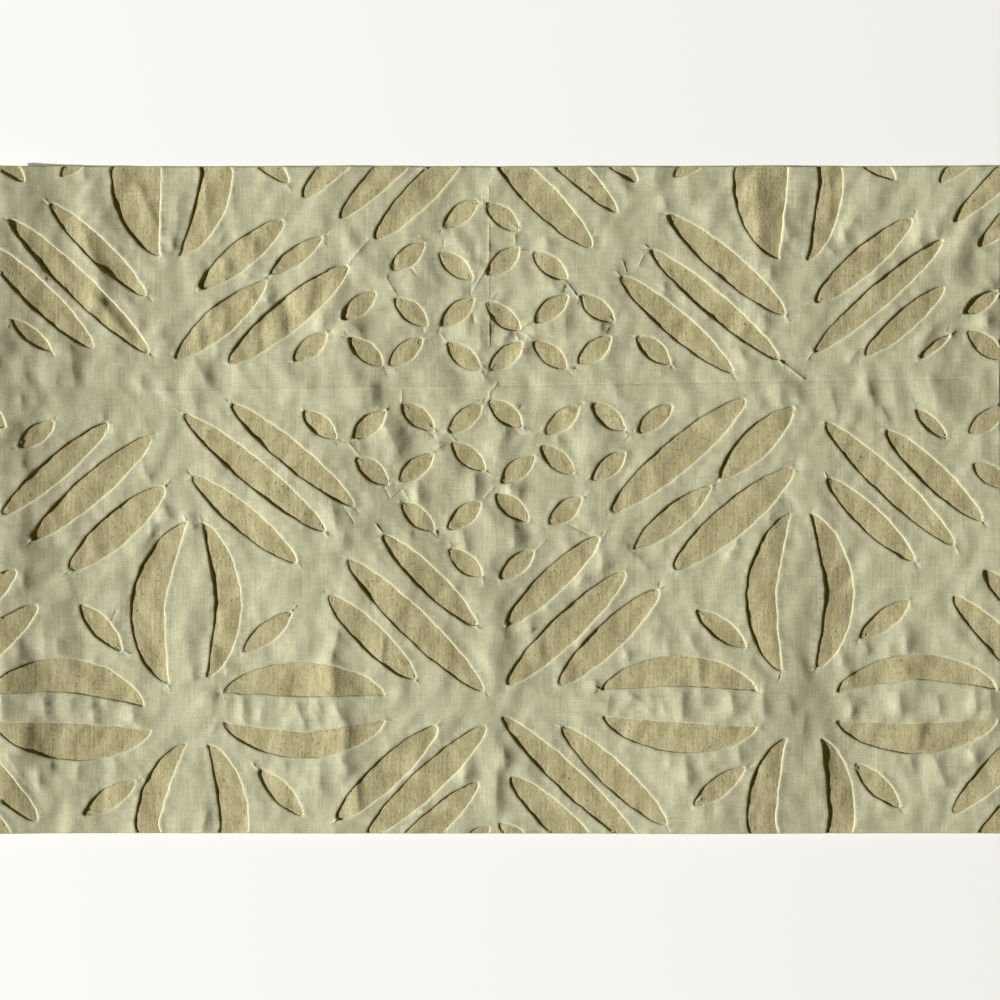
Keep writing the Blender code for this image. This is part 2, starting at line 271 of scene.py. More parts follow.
def eased(share):
    share = np.clip(share, 0, 1)
    return share * share * (3 - 2 * share)


def fold_lift(x, y):
    lift = np.zeros_like(x)
    for fold in FOLDS:
        across, along = (x - fold.x, y - fold.y) if fold.upright else (y - fold.y, x - fold.x)
        fade = eased(2 * (1 - np.abs(along) / (fold.length / 2)))
        lift = np.maximum(lift, fold.height * eased(1 - np.abs(across) / fold.half_width) * fade)
    return lift


print(len(FOLDS), "creases, the highest", max(fold.height for fold in FOLDS), "mm")

# %% [markdown]
# The rest is the soft relief that the photograph shows. A Stroke is a soft ridge, or with a height below
# nothing a trough. Its row says where its middle is in the photograph's pixels, how many degrees it is
# turned (90 is upright), and how long, how wide and how high it is in millimetres. A ridge is lit on its
# left and shaded on its right, and that is how each one was found. The strokes of the base cloth lift
# both cloths, and a few of them are very wide: they are the slow rise and fall of a sheet that was folded
# away for a long time.

# %% Soft ridges and troughs
Stroke = namedtuple("Stroke", "across down turn length width height")
TOP_STROKES = [Stroke(*row) for row in (
    # left third
    (84, 171, 100, 12, 3.6, 1.3), (56, 185, 100, 22, 4.5, -0.9), (234, 200, 90, 20, 4, 0.7),
    (8, 205, 100, 40, 8, 0.8), (178, 215, 90, 24, 3.5, 0.5), (20, 218, 100, 18, 6, 0.5),
    (161, 228, 90, 12, 2.6, 0.95), (320, 232, 65, 20, 3.5, 0.9), (222, 238, 60, 10, 2.5, 0.6),
    (174, 244, 90, 10, 2.4, 0.7), (162, 251, 100, 10, 2.6, 0.9), (150, 262, 120, 50, 10, 0.5),
    (249, 272, 80, 12, 3.4, 1.2), (318, 285, 80, 34, 12, 1.2), (277, 288, 105, 16, 4, -0.9),
    (266, 291, 100, 16, 3.2, 1.15), (129, 308, 90, 30, 6, 0.7), (322, 316, 100, 18, 4.5, 1.3),
    (236, 322, 90, 14, 3, 0.6), (294, 330, 115, 18, 4, -0.8), (141, 332, 110, 18, 4.2, 1.6),
    (0, 340, 90, 12, 4, 0.6), (165, 341, 115, 18, 5, 0.5), (217, 345, 90, 16, 4, 0.5),
    (266, 355, 90, 8, 2, 0.5), (74, 366, 95, 26, 4.6, 1.3), (200, 369, 115, 26, 5.5, 1.5),
    (26, 370, 100, 20, 6, 1.3), (60, 373, 75, 20, 5, 0.4), (220, 380, 115, 24, 4.5, -1.1),
    (143, 382, 90, 9, 2.5, 0.6), (70, 385, 90, 60, 45, 1.0), (40, 400, 90, 12, 4, 0.5),
    (24, 402, 92, 12, 3.2, 0.85), (232, 402, 100, 16, 5, 0.6), (196, 405, 100, 14, 4, 0.4),
    (104, 420, 100, 8, 2.4, 0.8), (113, 428, 100, 10, 2.5, 0.5), (252, 430, 120, 20, 6, 0.8),
    (-2, 450, 90, 44, 10, 0.6), (30, 455, 70, 16, 3.6, -0.9), (222, 465, 120, 26, 6, 0.8),
    (144, 466, 95, 18, 3, 0.8), (2, 468, 90, 12, 3.6, 0.6), (150, 480, 90, 8, 2.4, 0.8),
    (272, 505, 130, 24, 7, 0.8), (22, 510, 95, 10, 3.2, 1.1), (167, 512, 110, 14, 2.8, 1.0),
    (161, 514, 75, 12, 3, 0.8), (190, 520, 115, 12, 2.6, 0.9), (152, 530, 95, 10, 2.6, 0.8),
    (148, 540, 90, 20, 6, 0.7), (297, 555, 100, 12, 3, 0.8), (12, 560, 90, 50, 12, 1.0),
    (25, 580, 95, 12, 3.8, 1.0), (70, 588, 110, 16, 5, 0.6), (84, 592, 90, 20, 8, 0.4),
    (310, 640, 80, 18, 4, 0.7), (21, 646, 95, 20, 3.8, 0.35), (46, 648, 90, 18, 4.5, 0.9),
    (58, 648, 98, 16, 4, 1.5), (226, 668, 110, 12, 3.5, 0.8), (193, 672, 90, 12, 3, 0.8),
    (318, 703, 118, 18, 3, 1.0), (213, 705, 80, 14, 3.5, 0.9), (3, 706, 90, 20, 4, 1.0),
    (45, 707, 92, 20, 4, 1.35), (93, 707, 90, 18, 4, 0.7), (263, 707, 73, 20, 4, 1.35),
    (72, 708, 90, 18, 4.5, 0.9), (283, 708, 70, 14, 3, 0.5), (226, 709, 75, 16, 4, 0.8),
    (243, 709, 82, 18, 3.5, 1.3), (103, 712, 90, 18, 3.2, -0.9), (133, 712, 95, 18, 4, 1.5),
    (300, 712, 112, 22, 3.5, 1.2), (316, 715, 125, 14, 3, 0.9), (216, 725, 60, 10, 2.6, 0.9),
    (53, 762, 80, 18, 3.5, 0.9), (17, 767, 118, 26, 4.8, 1.5), (78, 768, 95, 20, 3.5, 1.2),
    (116, 768, 100, 18, 5, 0.9), (320, 771, 93, 28, 4.6, 1.7), (286, 772, 90, 16, 3.5, 0.8),
    (308, 774, 85, 16, 4, 0.7), (40, 776, 90, 16, 3.5, 1.1), (205, 822, 80, 18, 3.6, 1.35),
    # middle third
    (655, 176, 90, 16, 5, 0.6), (625, 184, 95, 14, 4, 1.4), (664, 203, 110, 12, 3, 1.0),
    (352, 225, 80, 30, 6, 0.6), (592, 241, 95, 8, 2.4, 0.8), (549, 247, 110, 16, 4.5, 1.1),
    (462, 250, 118, 30, 5, 1.3), (646, 251, 90, 8, 2.4, 0.9), (475, 252, 85, 18, 2.5, -0.8),
    (553, 286, 110, 14, 3.5, 1.1), (664, 289, 95, 8, 2.4, 0.8), (474, 294, 90, 30, 3, -0.4),
    (564, 306, 93, 50, 4.6, 1.6), (465, 310, 95, 30, 4.2, 1.3), (550, 318, 90, 26, 8, 1.1),
    (343, 320, 110, 18, 5, 0.4), (600, 328, 95, 12, 3, 1.05), (358, 330, 122, 30, 5, 1.5),
    (535, 330, 95, 14, 4, 0.8), (506, 337, 60, 12, 3.4, 1.2), (480, 342, 92, 16, 3.5, 0.7),
    (609, 346, 95, 14, 3.4, 1.25), (522, 347, 95, 14, 3.5, 1.0), (661, 369, 95, 10, 3.2, 1.2),
    (616, 392, 100, 16, 5, 1.2), (371, 394, 97, 18, 3.8, 1.2), (384, 398, 97, 18, 3, -0.8),
    (362, 402, 97, 14, 3, 0.5), (383, 420, 95, 12, 3, 1.05), (572, 424, 60, 14, 3.5, 0.9),
    (630, 434, 30, 10, 2.5, 0.8), (390, 436, 118, 42, 7, 1.6), (604, 436, 88, 26, 9, 1.1),
    (502, 439, 74, 26, 4.6, 1.75), (558, 440, 100, 12, 3, 0.9), (360, 448, 90, 12, 4, 1.1),
    (440, 450, 95, 18, 5, 0.5), (548, 450, 95, 16, 5, 0.6), (624, 458, 95, 12, 3.5, 1.0),
    (520, 462, 90, 20, 4.5, -0.7), (460, 474, 88, 26, 9, 1.0), (475, 483, 90, 28, 4.6, 1.55),
    (510, 488, 90, 10, 3, 1.1), (418, 493, 98, 22, 4.2, 1.6), (512, 494, 92, 26, 4.5, 1.55),
    (519, 495, 95, 14, 3, 1.1), (334, 513, 100, 22, 4.4, 1.65), (366, 521, 90, 18, 5, 0.7),
    (457, 524, 90, 12, 3, 0.6), (532, 530, 90, 16, 4, -0.6), (344, 536, 80, 20, 4, 1.35),
    (514, 536, 90, 28, 5.2, 2.0), (411, 538, 80, 16, 4.4, 1.0), (465, 540, 100, 24, 4.2, 1.55),
    (663, 543, 95, 10, 2.6, 0.8), (630, 550, 125, 10, 2.6, 0.9), (622, 552, 110, 14, 3.5, 0.3),
    (601, 556, 95, 26, 4.8, 1.8), (641, 561, 130, 14, 3, 0.7), (582, 577, 60, 14, 3.2, 1.1),
    (364, 590, 120, 22, 6, 1.3), (551, 599, 60, 16, 3.6, 1.3), (480, 600, 90, 26, 6, 0.7),
    (529, 622, 100, 16, 3.8, 1.45), (504, 632, 95, 14, 4.5, 1.0), (335, 648, 78, 24, 3, 1.0),
    (624, 648, 110, 18, 4, 1.5), (596, 686, 95, 8, 2.6, 0.9), (650, 697, 115, 14, 2.5, 0.8),
    (640, 701, 140, 24, 3, 1.0), (662, 703, 105, 14, 3, 0.7), (632, 704, 100, 16, 3, 0.4),
    (607, 706, 80, 14, 4, 1.0), (368, 707, 85, 14, 5, 1.0), (341, 716, 115, 18, 3.5, 1.2),
    (436, 730, 110, 14, 4.5, 1.7), (467, 735, 90, 12, 4, 0.7), (504, 757, 95, 16, 3, 1.0),
    (343, 761, 115, 22, 5, 1.9), (464, 766, 92, 24, 5, 1.9), (526, 770, 60, 16, 5, 0.7),
    (497, 782, 88, 46, 5, 1.3),
    # right third
    (718, 176, 95, 16, 4, -0.9), (688, 188, 95, 24, 6, 0.9), (877, 190, 85, 34, 9, 0.9),
    (862, 222, 70, 16, 4, 0.5), (848, 228, 50, 16, 4, 0.9), (918, 228, 95, 24, 5, 1.0),
    (786, 231, 95, 16, 4, 1.5), (843, 232, 110, 14, 3, 0.6), (935, 236, 95, 10, 3.2, 1.25),
    (829, 249, 130, 12, 2.5, 0.8), (945, 250, 40, 60, 14, 1.5), (791, 254, 95, 20, 4, -1.2),
    (975, 270, 95, 24, 8, -1.6), (770, 275, 95, 12, 3, 0.95), (1000, 275, 60, 30, 7, 0.9),
    (978, 300, 60, 34, 8, 1.1), (676, 305, 95, 14, 3.5, -0.7), (986, 312, 90, 30, 7, 2.3),
    (764, 322, 95, 18, 4.5, 0.6), (948, 338, 60, 12, 2.5, 0.8), (922, 346, 60, 26, 4, 1.15),
    (742, 355, 110, 12, 3, 1.0), (852, 357, 50, 12, 2, 0.7), (978, 385, 95, 26, 8, -1.9),
    (866, 386, 95, 16, 4, 1.2), (932, 392, 100, 26, 6.5, 2.2), (797, 393, 93, 16, 4, 0.5),
    (780, 395, 93, 18, 3.5, 0.8), (871, 395, 105, 18, 3.5, 1.2), (894, 396, 100, 14, 4, 0.6),
    (834, 404, 105, 18, 3, 0.9), (885, 414, 120, 12, 2.8, 1.05), (774, 510, 60, 18, 5, 0.6),
    (732, 548, 50, 14, 3, 1.0), (750, 560, 60, 16, 4, 0.8), (1005, 578, 90, 30, 14, 1.0),
    (866, 645, 105, 14, 3.5, 1.2), (905, 645, 100, 14, 3.5, 1.2), (667, 648, 100, 14, 3.5, 1.1),
    (694, 648, 120, 18, 4, 1.4), (889, 649, 80, 12, 3.5, 0.5), (841, 655, 95, 16, 3.5, 1.0),
    (703, 700, 85, 16, 5, 0.8), (731, 700, 93, 16, 3.5, 1.3), (974, 700, 98, 18, 4, 1.3),
    (762, 702, 93, 24, 4.6, 1.75), (990, 702, 95, 18, 4, 1.3), (893, 703, 90, 14, 4, 0.6),
    (899, 703, 95, 20, 4, 1.35), (681, 705, 92, 20, 4.2, 1.6), (790, 705, 100, 16, 3.5, 0.6),
    (938, 705, 95, 16, 3.5, 1.1), (850, 706, 95, 18, 4, 1.35), (775, 712, 90, 40, 14, 0.6),
    (866, 712, 95, 14, 4, 0.5), (803, 722, 80, 14, 3, 0.5), (753, 723, 130, 16, 3, 1.0),
    (738, 752, 100, 14, 3.5, 0.9), (970, 752, 125, 16, 3.5, 1.2), (909, 757, 105, 16, 3, 0.8),
    (667, 758, 95, 12, 3, 0.9), (710, 760, 60, 18, 5, 0.7), (893, 764, 60, 20, 5, 0.7),
    (685, 768, 98, 20, 3.5, 1.2), (938, 768, 115, 28, 5, 1.85),
)]
BASE_STROKES = [Stroke(*row) for row in (
    # left third
    (206, 203, 92, 38, 3.5, 0.8), (147, 206, 116, 34, 3.4, 0.95), (254, 250, 90, 18, 3, 0.8),
    (94, 258, 112, 46, 4.5, 1.45), (5, 265, 90, 200, 60, 4.4), (229, 266, 90, 12, 3, 0.8),
    (67, 270, 110, 18, 4, 0.7), (225, 272, 90, 14, 3.5, 0.6), (-10, 290, 90, 220, 24, 3.4),
    (309, 300, 75, 24, 5, 0.9), (254, 310, 95, 26, 4, 0.7), (211, 312, 90, 18, 2.5, 0.6),
    (110, 314, 129, 40, 4.5, 1.5), (287, 316, 98, 34, 4.5, -1.4), (224, 320, 90, 16, 2.5, 0.6),
    (200, 338, 92, 20, 3, 0.8), (263, 339, 95, 26, 4, -1.2), (10, 430, 90, 70, 40, 2.4),
    (300, 505, 90, 80, 34, 2.0), (20, 640, 90, 240, 40, 1.6), (2, 650, 90, 330, 24, 4.3),
    (214, 660, 95, 16, 4, 0.7), (8, 678, 90, 26, 8, 0.9), (332, 680, 88, 34, 7, 1.5),
    (320, 720, 90, 220, 60, 1.4), (28, 742, 90, 30, 9, 1.2),
    # middle third
    (335, 220, 90, 150, 40, 1.8), (412, 250, 92, 110, 16, 1.2), (590, 288, 92, 190, 56, 2.2),
    (345, 425, 92, 140, 45, 2.8), (404, 596, 90, 90, 34, 2.0), (383, 648, 88, 22, 1.4, 0.5),
    (540, 650, 95, 16, 3.5, 0.6), (428, 652, 90, 18, 4, 0.6), (445, 705, 90, 190, 60, 2.2),
    (346, 738, 90, 22, 4.5, 1.1), (357, 795, 95, 26, 4, 1.2),
    # right third
    (829, 200, 90, 40, 2.5, 0.5), (1010, 200, 90, 60, 50, 3.4), (757, 212, 92, 56, 6, 1.3),
    (765, 285, 90, 210, 36, 2.3), (895, 308, 90, 84, 60, 3.4), (1010, 650, 90, 260, 50, 3.2),
    (905, 668, 90, 14, 5, 0.6), (772, 670, 92, 210, 30, 2.6), (699, 672, 90, 20, 3, 0.8),
    (848, 677, 90, 14, 3.5, 0.6), (716, 678, 92, 14, 4, 0.6), (690, 730, 90, 170, 90, 3.0),
    (918, 736, 85, 18, 4, 0.8), (823, 762, 100, 26, 5, 1.0), (705, 775, 90, 120, 46, 2.2),
)]
print(len(TOP_STROKES), "strokes in the top cloth,", len(BASE_STROKES), "in the base cloth")

# %% [markdown]
# A stroke's section is a bell with a rather sharp crest, a little wider on its lit side, because cloth
# leans away from the crease that it was pressed along. It keeps its height in its middle and fades to
# nothing at both ends. The place is swayed a little before it is looked up, so that no ridge is a ruled
# line.

# %% How a stroke rises and fades
STROKE_REACH = 1.3
STROKE_TAPER = 1.5
STROKE_STRENGTH = 1.12
CREST_SHARPNESS = 1.5
LIT_SIDE = 1.45
SWAY_DEPTH = 0.4
SWAY_FINE, SWAY_SLOW, SWAY_DRIFT, SWAY_DOWN = 4.1, 8.3, 17, 7.7


def stroke_lift(strokes, x, y):
    lift = np.zeros_like(x)
    x = x + SWAY_DEPTH * (np.sin(y / SWAY_FINE + 1) * 0.5 + np.sin(y / SWAY_SLOW + x / SWAY_DRIFT))
    y = y + SWAY_DEPTH * np.sin(x / SWAY_DOWN + 2)
    for stroke in strokes:
        middle_x, middle_y = on_cloth(stroke.across, stroke.down)
        turn = math.radians(stroke.turn)
        along = (x - middle_x) * math.cos(turn) + (y - middle_y) * math.sin(turn)
        side = (y - middle_y) * math.cos(turn) - (x - middle_x) * math.sin(turn)
        fade = eased(STROKE_TAPER * (1 - np.abs(along) / (stroke.length * STROKE_REACH / 2)))
        width = stroke.width * np.where(side * stroke.height > 0, LIT_SIDE, 1)
        lift += STROKE_STRENGTH * stroke.height * np.exp(-(np.abs(side / width) ** CREST_SHARPNESS)) * fade
    return lift


crests = [stroke.height * STROKE_STRENGTH for stroke in TOP_STROKES + BASE_STROKES]
print(f"from {min(crests):.1f} to {max(crests):.1f} mm")

# %% [markdown]
# A Tuck is a thin sharp line that runs from tip to tip where the cloth was pinched. Its row gives its
# places in the photograph's pixels, and its width and height in millimetres.

# %% Thin tucks from tip to tip
PINCH_SEEN = 3
Tuck = namedtuple("Tuck", "places width height")
TUCKS = [Tuck(*row) for row in (
    (((489, 188), (489, 262), (489.5, 345)), 0.5, 0.3), (((472, 272), (471, 295), (474, 322)), 0.9, -0.5),
    (((488, 266), (479, 280), (470, 297)), 0.55, 0.45), (((424, 245), (421, 236)), 0.5, 0.4),
    (((410, 267), (416, 274)), 0.5, -0.35), (((443, 251), (444, 240)), 0.5, -0.3),
    (((371, 300), (370, 290)), 0.5, 0.4), (((371, 298), (375, 292)), 0.45, 0.3),
    (((422, 322), (424, 331)), 0.6, -0.35), (((490, 302), (495, 294)), 0.5, 0.4),
    (((494, 303), (501, 301)), 0.45, 0.3), (((563, 296), (565, 288)), 0.6, -0.45),
    (((565, 281), (578, 298)), 0.5, 0.45), (((525, 334), (538, 343)), 0.6, 0.35),
    (((512, 334), (521, 334)), 0.6, -0.4), (((591, 240), (594, 232)), 0.5, -0.35),
    (((626, 272), (623, 262)), 0.5, 0.3), (((639, 265), (643, 256)), 0.5, 0.35),
    (((402, 404), (402, 392)), 0.6, 0.4), (((489, 402), (490, 392), (497, 384)), 0.55, 0.45),
    (((427, 430), (435, 437)), 0.55, -0.4), (((350, 444), (361, 457)), 0.55, 0.4),
    (((432, 453), (441, 446)), 0.5, 0.4), (((447, 431), (456, 441)), 0.6, 0.35),
    (((384, 486), (391, 500), (404, 488)), 0.5, -0.3), (((403, 489), (411, 504)), 0.6, 0.4),
    (((376, 524), (385, 536)), 0.5, 0.45), (((427, 531), (439, 540), (451, 537)), 0.5, 0.25),
    (((450, 544), (456, 551)), 0.5, 0.35), (((343, 505), (354, 522)), 0.45, -0.35),
    (((484, 498), (493, 489)), 0.5, 0.4), (((517, 413), (521, 407)), 0.5, -0.35),
    (((533, 436), (543, 430)), 0.5, 0.35), (((513, 428), (521, 435)), 0.5, -0.4),
    (((634, 430), (626, 441)), 0.45, -0.3), (((669, 414), (668, 404)), 0.5, 0.45),
    (((587, 480), (593, 474)), 0.5, 0.35), (((492, 481), (502, 478)), 0.5, 0.35),
    (((537, 533), (549, 522)), 0.45, 0.25), (((534, 553), (546, 540)), 0.45, 0.25),
    (((602, 541), (607, 530)), 0.5, 0.3), (((566, 523), (591, 536)), 0.5, -0.35),
    (((582, 401), (594, 404)), 0.45, 0.25), (((203, 673), (197, 676)), 0.5, 0.4),
    (((162, 690), (169, 694)), 0.5, -0.3), (((82, 604), (86, 610)), 0.5, 0.4),
    (((112, 620), (116, 612)), 0.5, -0.4), (((440, 302), (490, 302)), 0.4, 0.2),
    (((140, 391), (215, 391), (232, 389), (300, 389), (480, 386)), 0.5, 0.4),
    (((500, 386), (620, 384), (750, 382), (1000, 378)), 0.5, -0.45),
    (((369, 240), (350, 262), (337, 290)), 0.7, 0.35), (((389, 272), (386, 278), (397, 296)), 0.6, 0.3),
    (((425, 340), (440, 332), (447, 342)), 0.6, 0.3), (((535, 318), (516, 333), (520, 345)), 0.7, 0.35),
    (((611, 322), (605, 335), (610, 345)), 0.6, 0.3), (((515, 235), (516, 250), (533, 252)), 0.6, 0.3),
    (((768, 357), (785, 365), (803, 379)), 0.6, 0.5), (((284, 181), (292, 192)), 0.6, 0.3),
    (((297, 560), (302, 568)), 0.6, 0.3),
)]
Pinch = namedtuple("Pinch", "line width height")
top_pinches = []
for tuck in TUCKS:
    line = np.array([on_cloth(*place) for place in tuck.places])
    top_pinches.append(Pinch(line, tuck.width, tuck.height))
print(len(top_pinches), "tucks")


def pinch_lift(pinches, x, y):
    lift = np.zeros_like(x)
    for pinch in pinches:
        low_x, low_y = pinch.line.min(0) - PINCH_SEEN * pinch.width
        high_x, high_y = pinch.line.max(0) + PINCH_SEEN * pinch.width
        near = np.where((x > low_x) & (x < high_x) & (y > low_y) & (y < high_y))[0]
        if len(near) == 0:
            continue
        nearest = np.full(len(near), np.inf)
        for a, b in zip(pinch.line, pinch.line[1:]):
            run, px, py = b - a, x[near] - a[0], y[near] - a[1]
            share = np.clip((px * run[0] + py * run[1]) / (run @ run), 0, 1)
            nearest = np.minimum(nearest, np.hypot(px - share * run[0], py - share * run[1]))
        lift[near] += pinch.height * np.exp(-((nearest / pinch.width) ** 2))
    return lift


# %% [markdown]
# Wherever the scissors ended a cut, the cloth had to be snipped a little further to turn its edge under.
# So every tip of a window has a whisker or two: short sharp pinches that run on from it. A tip that
# already has a tuck draws the same random numbers and keeps none of them. The base cloth has small
# wrinkles inside the same tips.

# %% Whiskers at the tips of the windows
WHISKER_LENGTHS = (1.6, 6)
WHISKER_SPREAD = 0.35
WHISKER_WIDTHS = (0.38, 0.6)
WHISKER_HEIGHTS = (0.18, 0.46)
TUCK_NEAR = 4
WRINKLE_LENGTHS = (2.5, 8)
WRINKLE_SPREAD = 0.6
WRINKLE_WIDTHS = (0.5, 1.1)
WRINKLE_HEIGHTS = (0.12, 0.34)
WRINKLE_START = (0.04, 0.2)
SECOND_WHISKER, SECOND_WRINKLE = 0.7, 0.6
RIDGE_SHARE = 0.6
by_hand_count = len(top_pinches)
base_pinches = []


def tips(ring):
    """The two ends of a window, each with the other."""
    middle = ring.mean(0)
    tip = ring[np.argmax(np.hypot(*(ring - middle).T))]
    other = ring[np.argmax(np.hypot(*(ring - tip).T))]
    return (tip, other), (other, tip)


def heading(angle):
    return np.array((math.cos(angle), math.sin(angle)))


def bent_pinch(start, way, lengths, spread, widths, heights):
    """A pinch of two nearly straight halves, most often a ridge."""
    half = hand.uniform(*lengths) * 0.5
    lean, bend = way + hand.normal(0, spread, 2) * (1, 0.5)
    knee = start + half * heading(lean)
    last = knee + half * heading(lean + bend - way)
    height = hand.uniform(*heights) * (1 if hand.random() < RIDGE_SHARE else -1)
    return Pinch(np.array([start, knee, last]), hand.uniform(*widths), height)


def is_pinched(tip):
    return any(np.hypot(*(pinch.line - tip).T).min() < TUCK_NEAR for pinch in top_pinches[:by_hand_count])


whiskers = (WHISKER_LENGTHS, WHISKER_SPREAD, WHISKER_WIDTHS, WHISKER_HEIGHTS)
wrinkles = (WRINKLE_LENGTHS, WRINKLE_SPREAD, WRINKLE_WIDTHS, WRINKLE_HEIGHTS)
for edge in window_edges:
    for tip, other in tips(edge.points):
        way = math.atan2(*(tip - other)[::-1])
        for _ in range(1 + (hand.random() < SECOND_WHISKER)):
            whisker = bent_pinch(tip, way, *whiskers)
            if not is_pinched(tip):
                top_pinches.append(whisker)
        for _ in range(1 + (hand.random() < SECOND_WRINKLE)):
            start = tip + (other - tip) * hand.uniform(*WRINKLE_START)
            base_pinches.append(bent_pinch(start, way + math.pi, *wrinkles))
print(len(top_pinches), "pinches in the top cloth,", len(base_pinches), "in the base cloth")

# %% [markdown]
# Between the strokes the cloth is never quite flat. Waves of several lengths in random directions, added
# up, give the low, shapeless unevenness of washed cotton. They lean towards upright furrows, as in the
# photograph.

# %% Washed unevenness
CrumpleWave = namedtuple("CrumpleWave", "pitch depth count sharp")
TOP_CRUMPLE = (
    CrumpleWave(45, 0.13, 9, False),
    CrumpleWave(18, 0.035, 9, False),
    CrumpleWave(8, 0.014, 9, False),
    CrumpleWave(64, 0.14, 4, True),
    CrumpleWave(30, 0.045, 4, True),
)
BASE_CRUMPLE = (
    CrumpleWave(30, 0.14, 9, False),
    CrumpleWave(12, 0.05, 9, False),
    CrumpleWave(6, 0.02, 9, False),
    CrumpleWave(40, 0.14, 4, True),
)
HEM_WAVES = (CrumpleWave(42, 0.13, 9, False), CrumpleWave(17, 0.1, 9, False))
LEAN_SPREAD = 0.75
PITCH_SPREAD = (0.7, 1.4)
MEAN_OF_FOLDED = 2 / math.pi
WANDER, WANDER_ACROSS, WANDER_DOWN = 5, 13, 11


def crumple(waves, seed):
    """A function that gives the unevenness at any place."""
    rng = np.random.default_rng(seed)
    parts = []
    for wave in waves:
        for _ in range(wave.count):
            lean = rng.normal(0, LEAN_SPREAD)
            pitch = wave.pitch * rng.uniform(*PITCH_SPREAD)
            depth = wave.depth / math.sqrt(wave.count / 2) * rng.choice((-1, 1))
            parts.append((math.cos(lean) / pitch, math.sin(lean) / pitch, rng.random(), depth, wave.sharp))

    def lift(x, y):
        x, y = x + WANDER * np.sin(y / WANDER_ACROSS + 1), y + WANDER * np.sin(x / WANDER_DOWN + 2)
        total = np.zeros_like(x)
        for u, v, shift, depth, sharp in parts:
            wave = np.sin(math.tau * (x * u + y * v + shift))
            total += depth * ((np.abs(wave) - MEAN_OF_FOLDED) * 2 if sharp else wave)
        return total

    return lift


top_crumple = crumple(TOP_CRUMPLE, 11)
base_crumple = crumple(BASE_CRUMPLE, 23)
hem_wave = crumple(HEM_WAVES, 31)
print("waves from", min(wave.pitch for wave in TOP_CRUMPLE + BASE_CRUMPLE), "mm up")

# %% [markdown]
# A hand never holds an edge quite the same. Some folds were left full and stand high, with a broad
# shadow, and others were pressed flat. The waves above do that at random, and this table does it where
# the photograph shows it plainly: a place and a reach in the photograph's pixels, and how many
# millimetres the fold is higher there.

# %% Full and flat folds
HEM_RISE = 0.65
HemPlace = namedtuple("HemPlace", "across down reach rise")
HEM_PLACES = [HemPlace(*row) for row in (
    # left third
    (294, 255, 18, 0.5), (287, 313, 45, 0.22), (219, 319, 35, 0.18), (24, 440, 9, -0.25),
    (290, 454, 45, 0.1), (56, 458, 34, 0.16), (103, 508, 50, 0.34), (34, 533, 12, -0.4),
    (280, 792, 18, -0.45),
    # middle third
    (500, 216, 14, -0.2), (454, 265, 14, 0.16), (549, 266, 14, 0.16), (500, 270, 60, -0.17),
    (357, 305, 14, -0.38), (501, 316, 14, -0.22), (364, 351, 14, -0.42), (548, 354, 14, -0.22),
    (607, 415, 14, -0.25), (415, 416, 14, -0.3), (368, 420, 14, -0.2), (353, 431, 11, -0.35),
    (466, 456, 14, -0.3), (555, 459, 14, -0.3), (515, 469, 14, -0.2), (500, 470, 80, -0.17),
    (509, 508, 14, -0.2), (463, 562, 14, 0.16), (368, 605, 28, -0.25), (410, 620, 35, -0.14),
    (564, 627, 40, 0.2),
    # right third
    (868, 278, 50, 0.3), (690, 315, 55, 0.32), (676, 454, 45, 0.2), (932, 475, 30, 0.12),
    (887, 483, 40, 0.14), (670, 517, 32, 0.32), (731, 518, 30, 0.08), (990, 583, 16, -0.3),
    (764, 592, 45, -0.22), (719, 628, 18, 0.1), (985, 628, 20, -0.3), (717, 784, 18, 0.2),
    (838, 790, 28, -0.3),
)]


def hem_rise(x, y):
    rise = HEM_RISE + hem_wave(x, y)
    for place in HEM_PLACES:
        middle_x, middle_y = on_cloth(place.across, place.down)
        away = np.hypot(x - middle_x, y - middle_y) / (place.reach * PIXEL)
        rise += place.rise * np.exp(-(away**2))
    return rise


print(len(HEM_PLACES), "places where the fold is full or flat")

# %% [markdown]
# ## The two height functions
#
# The base cloth lies on the creases, with its own few folds. The top cloth is held down at every turned
# edge and stands proud between them, here more and there less, which is the swell. The turned edge is
# also a little longer than the place it is sewn to, so short puckers run out from it, which is what
# `along_edge` is for. However deep its troughs are, the top cloth never sinks into the base cloth: below
# a least rise it levels out softly.

# %% Heights of the base cloth and of the top cloth
EDGE_PUCKER_PITCH = 9.5
EDGE_PUCKER_DEPTH = 0.22
EDGE_PUCKER_REACH = 7
EDGE_PUCKER_START = 3
PROUD, PROUD_REACH = 0.8, 12
PROUD_AT_CUT, CUT_REACH = 0.35, 30
SWELL_PITCH, SWELL_MIDDLE, SWELL_DEPTH = 58, 0.675, 0.325
LIE_AT_EDGE, LIE_REACH = 0.45, 6
LEAST_RISE, LEAST_SOFT = 0.3, 0.4
DEEPEST = -0.6


def base_lie(x, y):
    return fold_lift(x, y) + np.maximum(stroke_lift(BASE_STROKES, x, y) + base_crumple(x, y), DEEPEST)


def base_height(x, y):
    return BASE_TOP + base_lie(x, y) + pinch_lift(base_pinches, x, y)


def swell(x, y):
    one_way = np.sin(math.tau * (x + 0.3 * y) / SWELL_PITCH)
    other_way = np.sin(math.tau * (y - 0.4 * x) / SWELL_PITCH + 1)
    return SWELL_MIDDLE + SWELL_DEPTH * one_way * other_way


